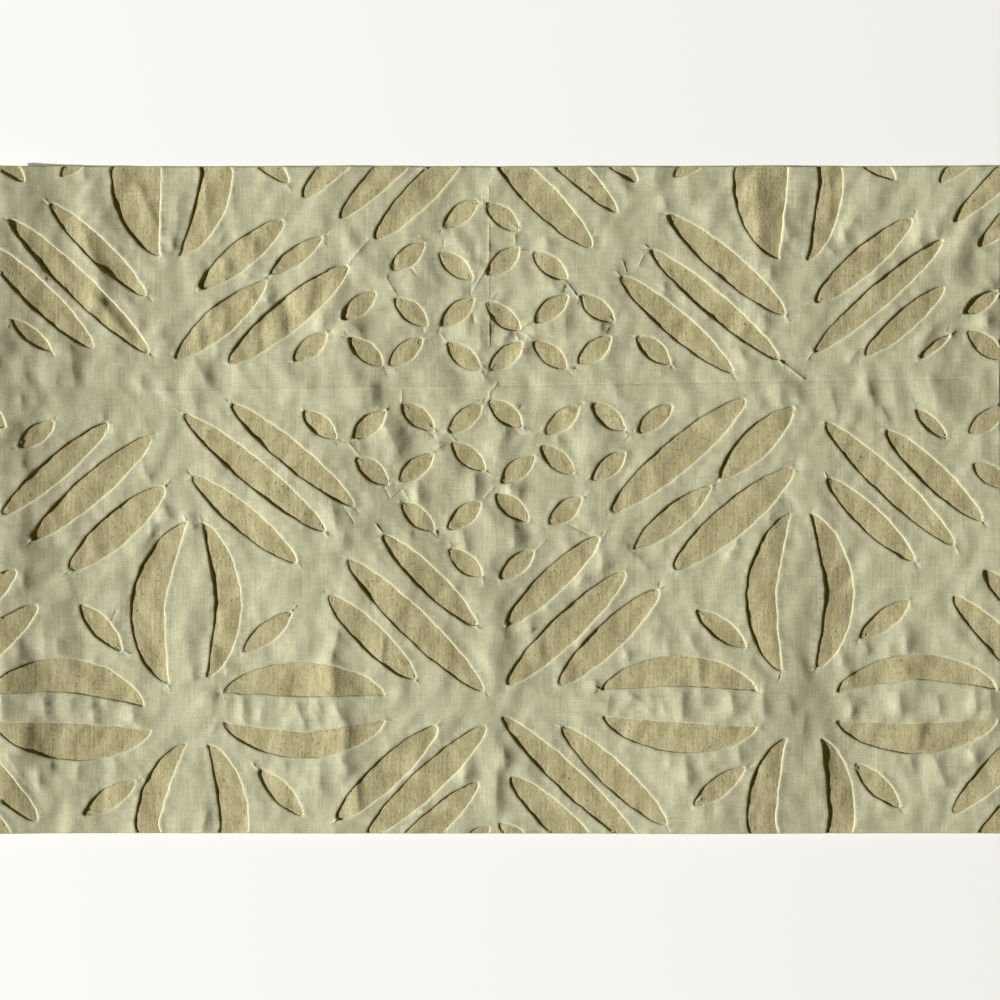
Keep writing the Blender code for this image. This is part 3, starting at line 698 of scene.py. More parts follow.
def top_height(x, y, to_edge, along_edge):
    to_cut = np.minimum(WIDTH / 2 - np.abs(x), DEPTH / 2 - np.abs(y))
    proud = PROUD * eased(to_edge / PROUD_REACH) * swell(x, y)
    proud *= PROUD_AT_CUT + (1 - PROUD_AT_CUT) * eased(to_cut / CUT_REACH)
    pucker = EDGE_PUCKER_DEPTH * np.sin(math.tau * along_edge / EDGE_PUCKER_PITCH)
    pucker *= np.exp(-to_edge / EDGE_PUCKER_REACH) * eased(to_edge / EDGE_PUCKER_START)
    lie = stroke_lift(TOP_STROKES, x, y) + top_crumple(x, y)
    lie *= LIE_AT_EDGE + (1 - LIE_AT_EDGE) * eased(to_edge / LIE_REACH)
    rise = hem_rise(x, y) + proud + pucker + lie + pinch_lift(top_pinches, x, y)
    low = LEAST_RISE + LEAST_SOFT
    rise = np.where(rise < low, LEAST_RISE + LEAST_SOFT * np.exp((rise - low) / LEAST_SOFT), rise)
    return BASE_TOP + base_lie(x, y) + rise


middle_fold = np.array([[FOLDS[0].x], [FOLDS[0].y]], float)
print(f"the base cloth is {base_height(*middle_fold)[0]:.1f} mm high on the middle crease")

# %% [markdown]
# ## Base cloth
#
# A grid fine enough for the small wrinkles in the windows would waste most of its points under the top
# cloth. So the upper side is a net of triangles (a Delaunay net) over points that are close together in
# the windows and far apart elsewhere. The underside rests flat and has only the wide points. Both sides
# share the same places along the cut edge, so that a band of faces closes the sheet there.

# %% Places on the cut length
RIM_PITCH, HIDDEN_PITCH, WINDOW_PITCH = 4.0, 6.0, 1.45
HIDDEN_SHAKE, WINDOW_SHAKE = 0.5, 0.2
FIRST_STEP, LAST_STEP, ROW_STEP = 0.75, 0.4, 0.866
cloth_outline = np.vstack([edge.points[:-1] for edge in rim_edges])


def inside_ring(points, ring):
    """Which of the points are inside the ring."""
    found = np.zeros(len(points), bool)
    low_x, low_y = ring.min(0)
    high_x, high_y = ring.max(0)
    x, y = points.T
    near = np.where((x > low_x) & (x < high_x) & (y > low_y) & (y < high_y))[0]
    if len(near) == 0:
        return found
    px, py = x[near][:, None], y[near][:, None]
    ax, ay = ring.T
    bx, by = np.roll(ring, -1, axis=0).T
    crosses = (ay > py) != (by > py)
    slope = np.where(by == ay, 1, by - ay)
    hits = crosses & (px < ax + (bx - ax) * (py - ay) / slope)
    found[near] = hits.sum(1) % 2 == 1
    return found


def in_window(points):
    """Which of the points lie where the base cloth shows."""
    found = np.zeros(len(points), bool)
    for edge in window_edges:
        found |= inside_ring(points, edge.points)
    started = np.where(~found)[0]
    found[started] = ~inside_ring(points[started], cloth_outline)
    return found


def scatter(pitch, shake):
    """A loose, even scatter: a staggered grid whose points are pushed a little."""
    rows = np.arange(-DEPTH / 2 + pitch * FIRST_STEP, DEPTH / 2 - pitch * LAST_STEP, pitch * ROW_STEP)
    points = []
    for count, y in enumerate(rows):
        start = -WIDTH / 2 + pitch * (FIRST_STEP + (count % 2) / 2)
        xs = np.arange(start, WIDTH / 2 - pitch * LAST_STEP, pitch)
        points.append(np.column_stack([xs, np.full(len(xs), y)]))
    points = np.vstack(points)
    return points + hand.uniform(-shake, shake, points.shape)


def cut_rim(pitch):
    """Places along the cut edge, the way round that keeps the cloth on the left."""
    corners = np.array([(-1, -1), (1, -1), (1, 1), (-1, 1)]) * (WIDTH / 2, DEPTH / 2)
    sides = []
    for a, b in zip(corners, np.roll(corners, -1, axis=0)):
        count = round(math.dist(a, b) / pitch)
        sides.append(a + (b - a) * np.arange(count)[:, None] / count)
    return np.vstack(sides)


print(len(cut_rim(RIM_PITCH)), "places along the cut edge")

# %% Make the base cloth
SHARP_CORNER = math.radians(62)
UNDER_THE_FOLD = 0.6
NET_TOLERANCE = 1e-4


def mesh_object(name, points, faces):
    """A smooth-shaded object from millimetre points, with its cut corners left sharp."""
    data = bpy.data.meshes.new(name)
    data.from_pydata([tuple(p) for p in np.asarray(points) * MM], [], faces)
    data.shade_smooth()
    data.set_sharp_from_angle(angle=SHARP_CORNER)
    thing = bpy.data.objects.new(name, data)
    bpy.context.scene.collection.objects.link(thing)
    return thing


def woven(points):
    """The triangles of a Delaunay net over the points, which keep their order."""
    _, _, faces, origins, *_ = delaunay_2d_cdt([Vector(p) for p in points], [], [], 0, NET_TOLERANCE)
    return [tuple(origins[corner][0] for corner in face) for face in faces]


def make_base_sheet():
    rim = cut_rim(RIM_PITCH)
    fine, wide = scatter(WINDOW_PITCH, WINDOW_SHAKE), scatter(HIDDEN_PITCH, HIDDEN_SHAKE)
    folds = np.vstack([edge.points + edge.inward * UNDER_THE_FOLD for edge in window_edges])
    upper = np.vstack([rim, fine[in_window(fine)], wide[~in_window(wide)], folds])
    lower = np.vstack([rim, wide])
    upper_faces, lower_faces = woven(upper), woven(lower)
    first = len(upper)
    faces = upper_faces + [tuple(first + k for k in reversed(face)) for face in lower_faces]
    for k in range(len(rim)):
        after = (k + 1) % len(rim)
        faces.append((k, first + k, first + after, after))
    above = np.column_stack([upper, base_height(*upper.T)])
    below = np.column_stack([lower, np.maximum(base_lie(*lower.T), 0)])
    return mesh_object("base_sheet", np.vstack([above, below]), faces)


def triangles(thing):
    return sum(len(face.vertices) - 2 for face in thing.data.polygons)


base_sheet = make_base_sheet()
print("base sheet:", triangles(base_sheet), "triangles")

# %% [markdown]
# ## Top cloth
#
# The top cloth has far too many windows for a grid, so it is a net of triangles (a constrained Delaunay
# net). Its points are rows that follow every edge, every pinch and the crest of every narrow stroke, and
# a loose scatter in between. The net is cut away inside the windows.

# %% Points of the net
ROWS_BY_EDGE = (0.7, 1.5, 2.9)
ROWS_BY_CREST = (-1.1, 0, 1.1)
ROWS_BY_PINCH = (-1.1, -0.45, 0, 0.45, 1.1)
ROW_SHARE, SPARSE_ROW = 0.86, 2
WIDEST_WITH_ROWS = 8
PINCH_STEP = 1.7
PINCH_TO_EDGE, CREST_TO_PINCH = 1.2, 0.8
NET_PITCH, NET_SHAKE = 2.7, 0.3
NET_TO_EDGE, NET_TO_ROWS = 4.1, 1.3


class EdgeMap:
    """Finds, for any place, how far the nearest turned edge is and how far along that edge it lies."""

    def __init__(self, edges):
        self.tree = KDTree(sum(len(edge.points) for edge in edges))
        self.along = []
        for edge in edges:
            shift = hand.random() * EDGE_PUCKER_PITCH
            for (x, y), walked in zip(edge.points, walked_along(edge.points)):
                self.tree.insert((x, y, 0), len(self.along))
                self.along.append(walked + shift)
        self.tree.balance()

    def read(self, points):
        found = [self.tree.find((x, y, 0)) for x, y in points]
        return np.array([f[2] for f in found]), np.array([self.along[f[1]] for f in found])


edge_map = EdgeMap(turned_edges)


def free_points(points, least):
    """The points that are on the top cloth and at least so far from every turned edge."""
    points = points[~in_window(points)]
    return points[edge_map.read(points)[0] >= least]


def pinch_rows():
    rows = []
    for pinch in top_pinches:
        line = stepped(pinch.line, False, PINCH_STEP)
        rows += [line + inward(line, False) * offset for offset in ROWS_BY_PINCH]
    return np.vstack(rows)


def crest_rows():
    """Rows that follow the crests of the narrow strokes."""
    rows = []
    for stroke in TOP_STROKES:
        if stroke.width > WIDEST_WITH_ROWS:
            continue
        turn = math.radians(stroke.turn)
        way, side = heading(turn), heading(turn + math.pi / 2)
        places = np.arange(-stroke.length / 2, stroke.length / 2, PINCH_STEP)[:, None]
        line = np.array(on_cloth(stroke.across, stroke.down)) + way * places
        rows += [line + side * offset for offset in ROWS_BY_CREST]
    return np.vstack(rows)


def spaced(points, kept, least):
    """The points that are at least so far from every kept one."""
    tree = KDTree(len(kept))
    for count, (x, y) in enumerate(kept):
        tree.insert((x, y, 0), count)
    tree.balance()
    return np.array([p for p in points if tree.find((p[0], p[1], 0))[2] > least])


def net_points():
    sharp = free_points(pinch_rows(), PINCH_TO_EDGE)
    crests = spaced(free_points(crest_rows(), PINCH_TO_EDGE), sharp, CREST_TO_PINCH)
    sharp = np.vstack([sharp, crests])
    loose = spaced(free_points(scatter(NET_PITCH, NET_SHAKE), NET_TO_EDGE), sharp, NET_TO_ROWS)
    beside = []
    for edge in turned_edges:
        for row in ROWS_BY_EDGE[1:]:
            line = (edge.points + edge.inward * row)[:: 2 if row > SPARSE_ROW else 1]
            beside.append(line[edge_map.read(line)[0] > row * ROW_SHARE])
    beside = free_points(np.vstack(beside), 0)
    return np.vstack([beside, sharp, loose])


print(len(pinch_rows()), "places by the pinches,", len(crest_rows()), "by the crests")


# %% Weave the net and cut the windows away
def make_net():
    """The net's points and triangles, and for each edge the numbers of its points."""
    points, lines, numbers = [], [], []
    for edge in window_edges:
        first = len(points)
        points += list(edge.points + edge.inward * ROWS_BY_EDGE[0])
        numbers.append(list(range(first, len(points))))
        lines += [(a, b) for a, b in zip(numbers[-1], numbers[-1][1:] + numbers[-1][:1])]
    rim_first = len(points)
    for edge in rim_edges:
        first = len(points)
        depth = ROWS_BY_EDGE[0] if edge.turned else 0
        fade = np.ones((len(edge.points), 1))
        fade[[0, -1]] = 0
        points += list((edge.points + edge.inward * depth * fade)[:-1])
        numbers.append(list(range(first, len(points))))
    for which in range(len(window_edges), len(numbers)):
        follower = numbers[which + 1][0] if which + 1 < len(numbers) else rim_first
        numbers[which].append(follower)
    rim_numbers = list(range(rim_first, len(points)))
    lines += list(zip(rim_numbers, rim_numbers[1:] + rim_numbers[:1]))
    rim_count = len(points)
    extra = net_points()
    places = [Vector(p) for p in points] + [Vector(p) for p in extra]
    placed, _, faces, origins, *_ = delaunay_2d_cdt(places, lines, [], 0, NET_TOLERANCE)
    now = {old: new for new, olds in enumerate(origins) for old in olds}
    flat = np.array([tuple(p) for p in placed])
    faces = np.array(faces)
    edge_face = (np.isin(faces, [now[i] for i in range(rim_count)])).all(1)
    middles = flat[faces].mean(1)
    drop = np.zeros(len(faces), bool)
    tested = np.where(edge_face)[0]
    for which in range(len(window_edges)):
        drop[tested] |= inside_ring(middles[tested], flat[[now[i] for i in numbers[which]]])
    drop[tested] |= ~inside_ring(middles[tested], flat[[now[i] for i in rim_numbers]])
    return flat, faces[~drop], [[now[i] for i in row] for row in numbers]


flat, net, edge_numbers = make_net()
print("net:", len(flat), "points,", len(net), "triangles")

# %% [markdown]
# The fold of a turned edge is round: it swells into a low brow, grows steeper and steeper, and at last
# turns a little back under itself, where the seam allowance is tucked in. Four more rows of points take
# each edge over and down to the base cloth. The undercut is what makes the dark line so dark and so thin.
# A raw edge only shows the cloth's own thickness.

# %% Roll the edges over and finish the top cloth
BROW, BROW_AT, BROW_WIDTH = 0.29, 1.4, 0.75
FOLD_ROWS = ((0.36, 0.84), (0.07, 0.56), (-0.05, 0.28), (0.05, 0.0))
FOOT_GAP = 0.03
CLOTH_THICKNESS = 0.35
RAW_UNDERSIDE = 1.5


def rolled_side(edge, rim):
    """The rows of points that take a turned edge over its fold, down and a little back under."""
    rows = []
    for place, share in FOLD_ROWS:
        line = edge.points + edge.inward * place
        if not edge.closed:
            line[[0, -1]] = rim[[0, -1], :2]
        ground = base_height(*line.T) + FOOT_GAP
        rows.append(np.column_stack([line, ground + (rim[:, 2] - ground) * share]))
    return rows


def raw_side(edge, rim):
    """The two rows of points that give a raw edge its thickness."""
    lower = rim - (0, 0, CLOTH_THICKNESS)
    return lower, lower + np.column_stack([edge.inward * RAW_UNDERSIDE, np.zeros(len(rim))])


fold_crests = []


def make_top_sheet():
    to_edge, along = edge_map.read(flat)
    heights = top_height(flat[:, 0], flat[:, 1], to_edge, along)
    heights += BROW * np.exp(-(((to_edge - BROW_AT) / BROW_WIDTH) ** 2))
    points = [tuple(p) for p in np.column_stack([flat, heights])]
    faces = [tuple(int(i) for i in face) for face in net]
    for edge, numbers in zip(window_edges + rim_edges, edge_numbers):
        rim = np.array([points[i] for i in numbers])
        lower_rows = (rolled_side if edge.turned else raw_side)(edge, rim)
        if edge.turned:
            fold_crests.append((edge, lower_rows[0]))
        rows = [numbers]
        for row in lower_rows:
            rows.append(list(range(len(points), len(points) + len(row))))
            points += [tuple(p) for p in row]
        for upper, lower in zip(rows, rows[1:]):
            for k in range(len(numbers) if edge.closed else len(numbers) - 1):
                after = (k + 1) % len(numbers)
                faces.append((upper[after], upper[k], lower[k], lower[after]))
    return mesh_object("top_sheet", points, faces)


top_sheet = make_top_sheet()
print("top sheet:", triangles(top_sheet), "triangles")

# %% [markdown]
# ## Two woven finishes
#
# Both cloths are plain weave, one thread over and one under. A thread's height is a wave across it, and
# which thread is on top changes like the squares of a board, so the product of two slow sines picks the
# upper one. A little noise in the place keeps the threads from being ruled lines. Handloom yarn is thick
# and thin, so long narrow streaks of lighter and darker yarn run along it. The gaps between threads are
# darkened in the colour, which is painted shade.

# %% Helpers for shader nodes
WAVER_SCALE = 0.35
STREAK_RELIEF = 2.6


def add(tree, kind, links=(), **settings):
    """A node with its settings made and its inputs linked or filled."""
    made = tree.nodes.new(kind)
    for name, value in settings.items():
        setattr(made, name, value)
    for socket, value in dict(links).items():
        target = made.inputs[socket]
        if isinstance(value, bpy.types.NodeSocket):
            tree.links.new(value, target)
        else:
            target.default_value = value
    return made


def maths(tree, operation, a, b=0.0, c=0.0):
    return add(tree, "ShaderNodeMath", {0: a, 1: b, 2: c}, operation=operation).outputs[0]


def noise(tree, place, stretch, detail=2.0, roughness=0.5):
    """Noise whose grain is stretched: stretch says how many grains there are in a millimetre each way."""
    scaled = add(tree, "ShaderNodeMapping", {"Vector": place, "Scale": (*stretch, 1)}).outputs[0]
    grain = {"Vector": scaled, "Scale": 1.0, "Detail": detail, "Roughness": roughness}
    return add(tree, "ShaderNodeTexNoise", grain).outputs[0]


def ramp(tree, value, *stops):
    """A colour ramp from (place, colour) stops."""
    made = add(tree, "ShaderNodeValToRGB", {0: value})
    keys = made.color_ramp.elements
    while len(keys) < len(stops):
        keys.new(0.5)
    for key, (place, colour) in zip(keys, stops):
        key.position = place
        key.color = (*colour, 1) if isinstance(colour, tuple) else (colour, colour, colour, 1)
    return made.outputs[0]


def tinted(tree, colour, shade):
    both = {"Factor": 1.0, 6: colour, 7: shade}
    return add(tree, "ShaderNodeMix", both, data_type="RGBA", blend_type="MULTIPLY").outputs[2]


def added_up(tree, *layers):
    """The sum of the layers, each times its weight."""
    (first, weight), *others = layers
    total = maths(tree, "MULTIPLY", first, weight)
    for layer, weight in others:
        total = maths(tree, "MULTIPLY_ADD", layer, weight, total)
    return total


def thick_and_thin(tree, place, stretch, stops):
    """Plain yarn between the middle stops, thinner towards the first stop and thicker towards the last."""
    return ramp(tree, noise(tree, place, stretch, 1.0), *zip(stops, (0.0, 0.5, 0.5, 1.0)))


def plain_weave(tree, place, pitch, waver):
    """The height, from 0 to 1, of a plain weave whose threads lie a pitch apart, in millimetres."""
    push = add(tree, "ShaderNodeTexNoise", {"Vector": place, "Scale": WAVER_SCALE, "Detail": 2.0})
    nudge = {0: push.outputs[1], 1: (waver,) * 3}
    nudged = add(tree, "ShaderNodeVectorMath", nudge, operation="MULTIPLY").outputs[0]
    moved = add(tree, "ShaderNodeVectorMath", {0: place, 1: nudged}, operation="ADD").outputs[0]
    parts = add(tree, "ShaderNodeSeparateXYZ", {0: moved})
    warp_wave = maths(tree, "SINE", maths(tree, "MULTIPLY", parts.outputs[0], math.pi / pitch))
    weft_wave = maths(tree, "SINE", maths(tree, "MULTIPLY", parts.outputs[1], math.pi / pitch))
    over = maths(tree, "MULTIPLY_ADD", maths(tree, "MULTIPLY", warp_wave, weft_wave), 0.5, 0.5)
    under = maths(tree, "SUBTRACT", 1.0, over)
    warp = maths(tree, "MULTIPLY", maths(tree, "ABSOLUTE", warp_wave), over)
    weft = maths(tree, "MULTIPLY", maths(tree, "ABSOLUTE", weft_wave), under)
    return maths(tree, "MAXIMUM", warp, weft)


def cloth_material(name, roughness, sheen):
    material = bpy.data.materials.new(name)
    material.use_nodes = True
    shader = material.node_tree.nodes["Principled BSDF"]
    shader.inputs["Roughness"].default_value = roughness
    shader.inputs["Sheen Weight"].default_value = sheen
    shader.inputs["Specular IOR Level"].default_value = 0.15
    return material, material.node_tree, shader


def place_in_mm(tree):
    spot = add(tree, "ShaderNodeTexCoord").outputs["Object"]
    return add(tree, "ShaderNodeMapping", {"Vector": spot, "Scale": (1 / MM,) * 3}).outputs[0]


def finish_cloth(tree, shader, colour, streak, weave, gap_shade_stops, relief):
    """Darken the gaps between threads with painted shade, and let threads and streaks stand up by a relief
    in millimetres.
    """
    # painted shade: the colour is made darker where the weave is low, between the threads
    colour = tinted(tree, colour, ramp(tree, weave, *gap_shade_stops))
    height = maths(tree, "MULTIPLY_ADD", streak, STREAK_RELIEF, weave)
    bump = add(tree, "ShaderNodeBump", {"Strength": 1.0, "Distance": relief * MM, "Height": height})
    tree.links.new(colour, shader.inputs["Base Color"])
    tree.links.new(bump.outputs[0], shader.inputs["Normal"])
    print("a finish of", len(tree.nodes), "nodes")


# %% [markdown]
# The oatmeal handloom is unbleached: straw, with darker husk specks and upright streaks of thick and thin
# yarn. Five layers of noise add up to one streak value: single yarns, long slubs, slow mottling, thick
# and thin yarn, and a fine grain. A ramp turns it into colour, and the same value raises the thicker
# yarns a little.

# %% Oatmeal handloom
STRAW_DARK, STRAW, STRAW_LIGHT = (0.42, 0.368, 0.192), (0.547, 0.491, 0.274), (0.682, 0.626, 0.385)
HANDLOOM_PITCH, HANDLOOM_WAVER = 0.8, 1.6


def make_handloom():
    material, tree, shader = cloth_material("oatmeal handloom", 0.95, 0.0)
    place = place_in_mm(tree)
    warp_yarn = noise(tree, place, (1.1, 0.09), 3.0, 0.7)
    slub = noise(tree, place, (0.5, 0.03))
    mottle = noise(tree, place, (0.08, 0.05), 3.0)
    grain = noise(tree, place, (1.0, 0.5), 4.0, 0.8)
    thick = thick_and_thin(tree, place, (1.2, 0.05), (0.3, 0.38, 0.6, 0.7))
    layers = (slub, 0.1), (warp_yarn, 0.22), (mottle, 0.24), (thick, 0.08), (grain, 0.36)
    streak = added_up(tree, *layers)
    colour = ramp(tree, streak, (0.42, STRAW_DARK), (0.5, STRAW), (0.58, STRAW_LIGHT))
    husk = ramp(tree, noise(tree, place, (0.75, 0.5), 1.0), (0.26, 0.5), (0.35, 1.0))
    weave = plain_weave(tree, place, HANDLOOM_PITCH, HANDLOOM_WAVER)
    # the stops paint shade into the gaps between threads
    finish_cloth(tree, shader, tinted(tree, colour, husk), streak, weave, ((0.1, 0.84), (0.6, 1.0)), 0.15)
    return material


base_sheet.data.materials.append(make_handloom())

# %% [markdown]
# The cream cotton is finer, and its weave hardly shows. What shows is a faint cross-hatch of uneven
# threads.

# %% Cream cotton
CREAM_DARK, CREAM, CREAM_LIGHT = (0.525, 0.511, 0.332), (0.608, 0.594, 0.402), (0.7, 0.686, 0.485)
COTTON_PITCH, COTTON_WAVER = 0.42, 1.2


def make_cotton():
    material, tree, shader = cloth_material("cream cotton", 0.85, 0.08)
    place = place_in_mm(tree)
    warp_yarn = noise(tree, place, (1.0, 0.05), 3.0, 0.6)
    weft_yarn = noise(tree, place, (0.05, 1.0), 3.0, 0.6)
    mottle = noise(tree, place, (0.06, 0.05), 3.0)
    grain = noise(tree, place, (0.8, 0.8), 3.0, 0.7)
    thick_warp = thick_and_thin(tree, place, (1.3, 0.03), (0.32, 0.42, 0.6, 0.7))
    thick_weft = thick_and_thin(tree, place, (0.03, 1.3), (0.3, 0.4, 0.62, 0.72))
    yarns = (weft_yarn, 0.15), (warp_yarn, 0.24), (mottle, 0.15)
    streak = added_up(tree, *yarns, (thick_warp, 0.13), (thick_weft, 0.07), (grain, 0.26))
    colour = ramp(tree, streak, (0.41, CREAM_DARK), (0.5, CREAM), (0.59, CREAM_LIGHT))
    weave = plain_weave(tree, place, COTTON_PITCH, COTTON_WAVER)
    # the stops paint shade into the gaps between threads
    finish_cloth(tree, shader, colour, streak, weave, ((0.05, 0.93), (0.5, 1.0)), 0.1)
    return material


top_sheet.data.materials.append(make_cotton())

# %% [markdown]
# ## Sewing
#
# The folds are held by slip stitches: every few millimetres the thread comes over the crest of the fold
# and dives into the base cloth. One small bent tube, repeated along every crest, is a job for Geometry
# Nodes. The crests go in as plain lines. The tree sets points on them at one spacing, puts a stitch on
# each, turns it across the line and tilts it a little. The loose thread ends at the tips of the windows
# are lines too, and a second tree only gives them their thickness.

# %% Helpers for trees that grow on lines
def line_tree(name, *sizes):
    """A new tree with a geometry in and out and the named inputs, and its two end nodes."""
    tree = bpy.data.node_groups.new(name, "GeometryNodeTree")
    tree.interface.new_socket("Lines", in_out="INPUT", socket_type="NodeSocketGeometry")
    for label, kind in sizes:
        tree.interface.new_socket(label, in_out="INPUT", socket_type="NodeSocket" + kind)
    tree.interface.new_socket("Sewing", in_out="OUTPUT", socket_type="NodeSocketGeometry")
    return tree, tree.nodes.new("NodeGroupInput"), tree.nodes.new("NodeGroupOutput")


def finish_tree(tree, end, shape, material):
    """Smooth faces, real copies and a material at the end of a tree."""
    smooth = add(tree, "GeometryNodeSetShadeSmooth", {"Geometry": shape})
    real = add(tree, "GeometryNodeRealizeInstances", {"Geometry": smooth.outputs[0]})
    done = add(tree, "GeometryNodeSetMaterial", {"Geometry": real.outputs[0], "Material": material})
    tree.links.new(done.outputs[0], end.inputs[0])
    return tree


def grown(name, tree, lines, sizes):
    """The plain mesh that a tree grows on lines of millimetre points."""
    joins, first = [], 0
    for line in lines:
        joins += [(first + k, first + k + 1) for k in range(len(line) - 1)]
        first += len(line)
    data = bpy.data.meshes.new(name + "_lines")
    data.from_pydata((np.vstack(lines) * MM).tolist(), joins, [])
    guide = bpy.data.objects.new(name + "_lines", data)
    bpy.context.scene.collection.objects.link(guide)
    modifier = guide.modifiers.new(name, "NODES")
    modifier.node_group = tree
    for socket in tree.interface.items_tree:
        if socket.name in sizes:
            modifier[socket.identifier] = sizes[socket.name]
    seen = guide.evaluated_get(bpy.context.evaluated_depsgraph_get())
    made = bpy.data.objects.new(name, bpy.data.meshes.new_from_object(seen))
    guide.modifiers.remove(modifier)
    bpy.data.objects.remove(guide)
    bpy.context.scene.collection.objects.link(made)
    print(name, len(made.data.polygons), "faces")
    return made


# %% Slip stitches along every fold
STITCH_SIZES = {"Spacing": 4.6 * MM, "Reach": 0.9 * MM, "Rise": 0.16 * MM, "Thickness": 0.2 * MM, "Seed": 5}
STITCH_LEAN = (0.12, 0.12, 0.45)
STITCH_SCALES = (0.75, 1.2)
CREST_SINK = 0.04


def stitch_tree(material):
    labels = [(label, "Int" if label == "Seed" else "Float") for label in STITCH_SIZES]
    tree, given, end = line_tree("slip stitches", *labels)
    reach, rise, seed = given.outputs["Reach"], given.outputs["Rise"], given.outputs["Seed"]

    def on_stitch(across, up):
        y, z = maths(tree, "MULTIPLY", reach, across), maths(tree, "MULTIPLY", rise, up)
        return add(tree, "ShaderNodeCombineXYZ", {"Y": y, "Z": z}).outputs[0]

    ends = {"Start": on_stitch(0.5, -0.4), "Middle": on_stitch(0.05, 1.9), "End": on_stitch(-0.5, -2.2)}
    arc = add(tree, "GeometryNodeCurveQuadraticBezier", {"Resolution": 4, **ends})
    radius = maths(tree, "MULTIPLY", given.outputs["Thickness"], 0.5)
    ring = add(tree, "GeometryNodeCurvePrimitiveCircle", {"Resolution": 3, "Radius": radius})
    tube = {"Curve": arc.outputs[0], "Profile Curve": ring.outputs[0]}
    thread = add(tree, "GeometryNodeCurveToMesh", tube)
    paths = add(tree, "GeometryNodeMeshToCurve", {"Mesh": given.outputs["Lines"]})
    steps = {"Curve": paths.outputs[0], "Length": given.outputs["Spacing"]}
    dots = add(tree, "GeometryNodeCurveToPoints", steps, mode="LENGTH")
    facing = {"Vector": dots.outputs["Tangent"]}
    across = add(tree, "FunctionNodeAlignRotationToVector", facing, axis="X", pivot_axis="Z")
    size = add(tree, "FunctionNodeRandomValue", {2: STITCH_SCALES[0], 3: STITCH_SCALES[1], "Seed": seed})
    lean = {0: tuple(-angle for angle in STITCH_LEAN), 1: STITCH_LEAN, "Seed": seed}
    leaning = add(tree, "FunctionNodeRandomValue", lean, data_type="FLOAT_VECTOR")
    copies = {"Points": dots.outputs["Points"], "Instance": thread.outputs[0], "Scale": size.outputs[1]}
    placed = add(tree, "GeometryNodeInstanceOnPoints", {**copies, "Rotation": across.outputs[0]})
    turned = {"Instances": placed.outputs[0], "Rotation": leaning.outputs[0]}
    tilted = add(tree, "GeometryNodeRotateInstances", turned)
    return finish_tree(tree, end, tilted.outputs[0], material)


cream = top_sheet.data.materials[0]
crest_lines = []
for edge, crest in fold_crests:
    closed_crest = np.vstack([crest, crest[:1]]) if edge.closed else crest
    crest_lines.append(closed_crest - (0, 0, CREST_SINK))
slip_stitches = grown("slip_stitches", stitch_tree(cream), crest_lines, STITCH_SIZES)

# %% Loose thread ends at the tips of the windows
END_SIZES = {"Thickness": 0.31 * MM}
MOST_ENDS = 3
END_LENGTHS = (1.8, 5.5)
END_STEPS, END_CURL = 6, 0.35
END_SPREAD, END_SCATTER = 0.9, 0.6
END_LIFT = 0.16


def end_tree(material):
    tree, given, end = line_tree("thread ends", ("Thickness", "Float"))
    radius = maths(tree, "MULTIPLY", given.outputs["Thickness"], 0.5)
    ring = add(tree, "GeometryNodeCurvePrimitiveCircle", {"Resolution": 4, "Radius": radius})
    paths = add(tree, "GeometryNodeMeshToCurve", {"Mesh": given.outputs["Lines"]})
    profile = {"Curve": paths.outputs[0], "Profile Curve": ring.outputs[0], "Fill Caps": True}
    return finish_tree(tree, end, add(tree, "GeometryNodeCurveToMesh", profile).outputs[0], material)


def lay(line):
    """The line laid on the upper of the two cloths."""
    to_edge, along = edge_map.read(line)
    on_top = top_height(*line.T, to_edge, along)
    return np.column_stack([line, np.where(in_window(line), base_height(*line.T), on_top) + END_LIFT])


def loose_end(tip, way):
    turns = np.cumsum(hand.normal(0, END_CURL, END_STEPS)) + way
    stride = hand.uniform(*END_LENGTHS) / END_STEPS
    walk = np.cumsum(np.column_stack([np.cos(turns), np.sin(turns)]) * stride, axis=0)
    return lay(tip + walk)


end_lines = []
for edge in window_edges:
    for tip, other in tips(edge.points):
        for _ in range(hand.integers(1, MOST_ENDS + 1)):
            way = math.atan2(*(other - tip)[::-1]) + hand.normal(0, END_SPREAD)
            end_lines.append(loose_end(tip + hand.normal(0, END_SCATTER, 2), way))
thread_ends = grown("thread_ends", end_tree(cream), end_lines, END_SIZES)

# %% [markdown]
# ## Ride on the body and replace the solids
#
# Every piece rides on the one body, and each dressed sheet stands for its solid, which is hidden. The top
# cloth's cut is not a rectangle, so its flat area is worked out and printed.

# %% Ride and replace
flat_area = sum(ring_area(edge.points) for edge in window_edges)
flat_area = (flat_area + ring_area(np.vstack([edge.points[:-1] for edge in rim_edges]))) * MM * MM
print(f"flat area of the top cloth {flat_area:.4f} square metres")

dressed = ((base_sheet, "base_cloth", "base_cotton"), (top_sheet, "top_cloth", "top_cotton"))
for piece, node, slot in dressed:
    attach(piece, "root")
    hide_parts(node)
sewing = [slip_stitches, thread_ends]
for piece in sewing:
    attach(piece, "root")

# %% [markdown]
# ## Floor, light and camera
#
# The floor is pale and glows a little, which keeps it white where the lamp is low. A view from the side
# looks past its far edge, so a pale round wall stands there. Only the camera sees the wall: it neither
# lights the cloth nor stops the lamp.

# %% Floor and backdrop
FLOOR_HALF = 3.0
FLOOR_DROP = 0.0003
FLOOR_TONE, FLOOR_ROUGHNESS = (0.9, 0.9, 0.89, 1), 0.9
FLOOR_GLOW_TONE, FLOOR_GLOW = (1, 1, 1, 1), 0.16
BACKDROP_HIGH = 2.4
BACKDROP_SIDES = 96
BACKDROP_BASE, BACKDROP_ROUGHNESS = (0, 0, 0, 1), 0.5
BACKDROP_TONE, BACKDROP_GLOW = (0.93, 0.93, 0.91, 1), 1.0
UNSEEN_BY = ("diffuse", "glossy", "transmission", "volume_scatter", "shadow")


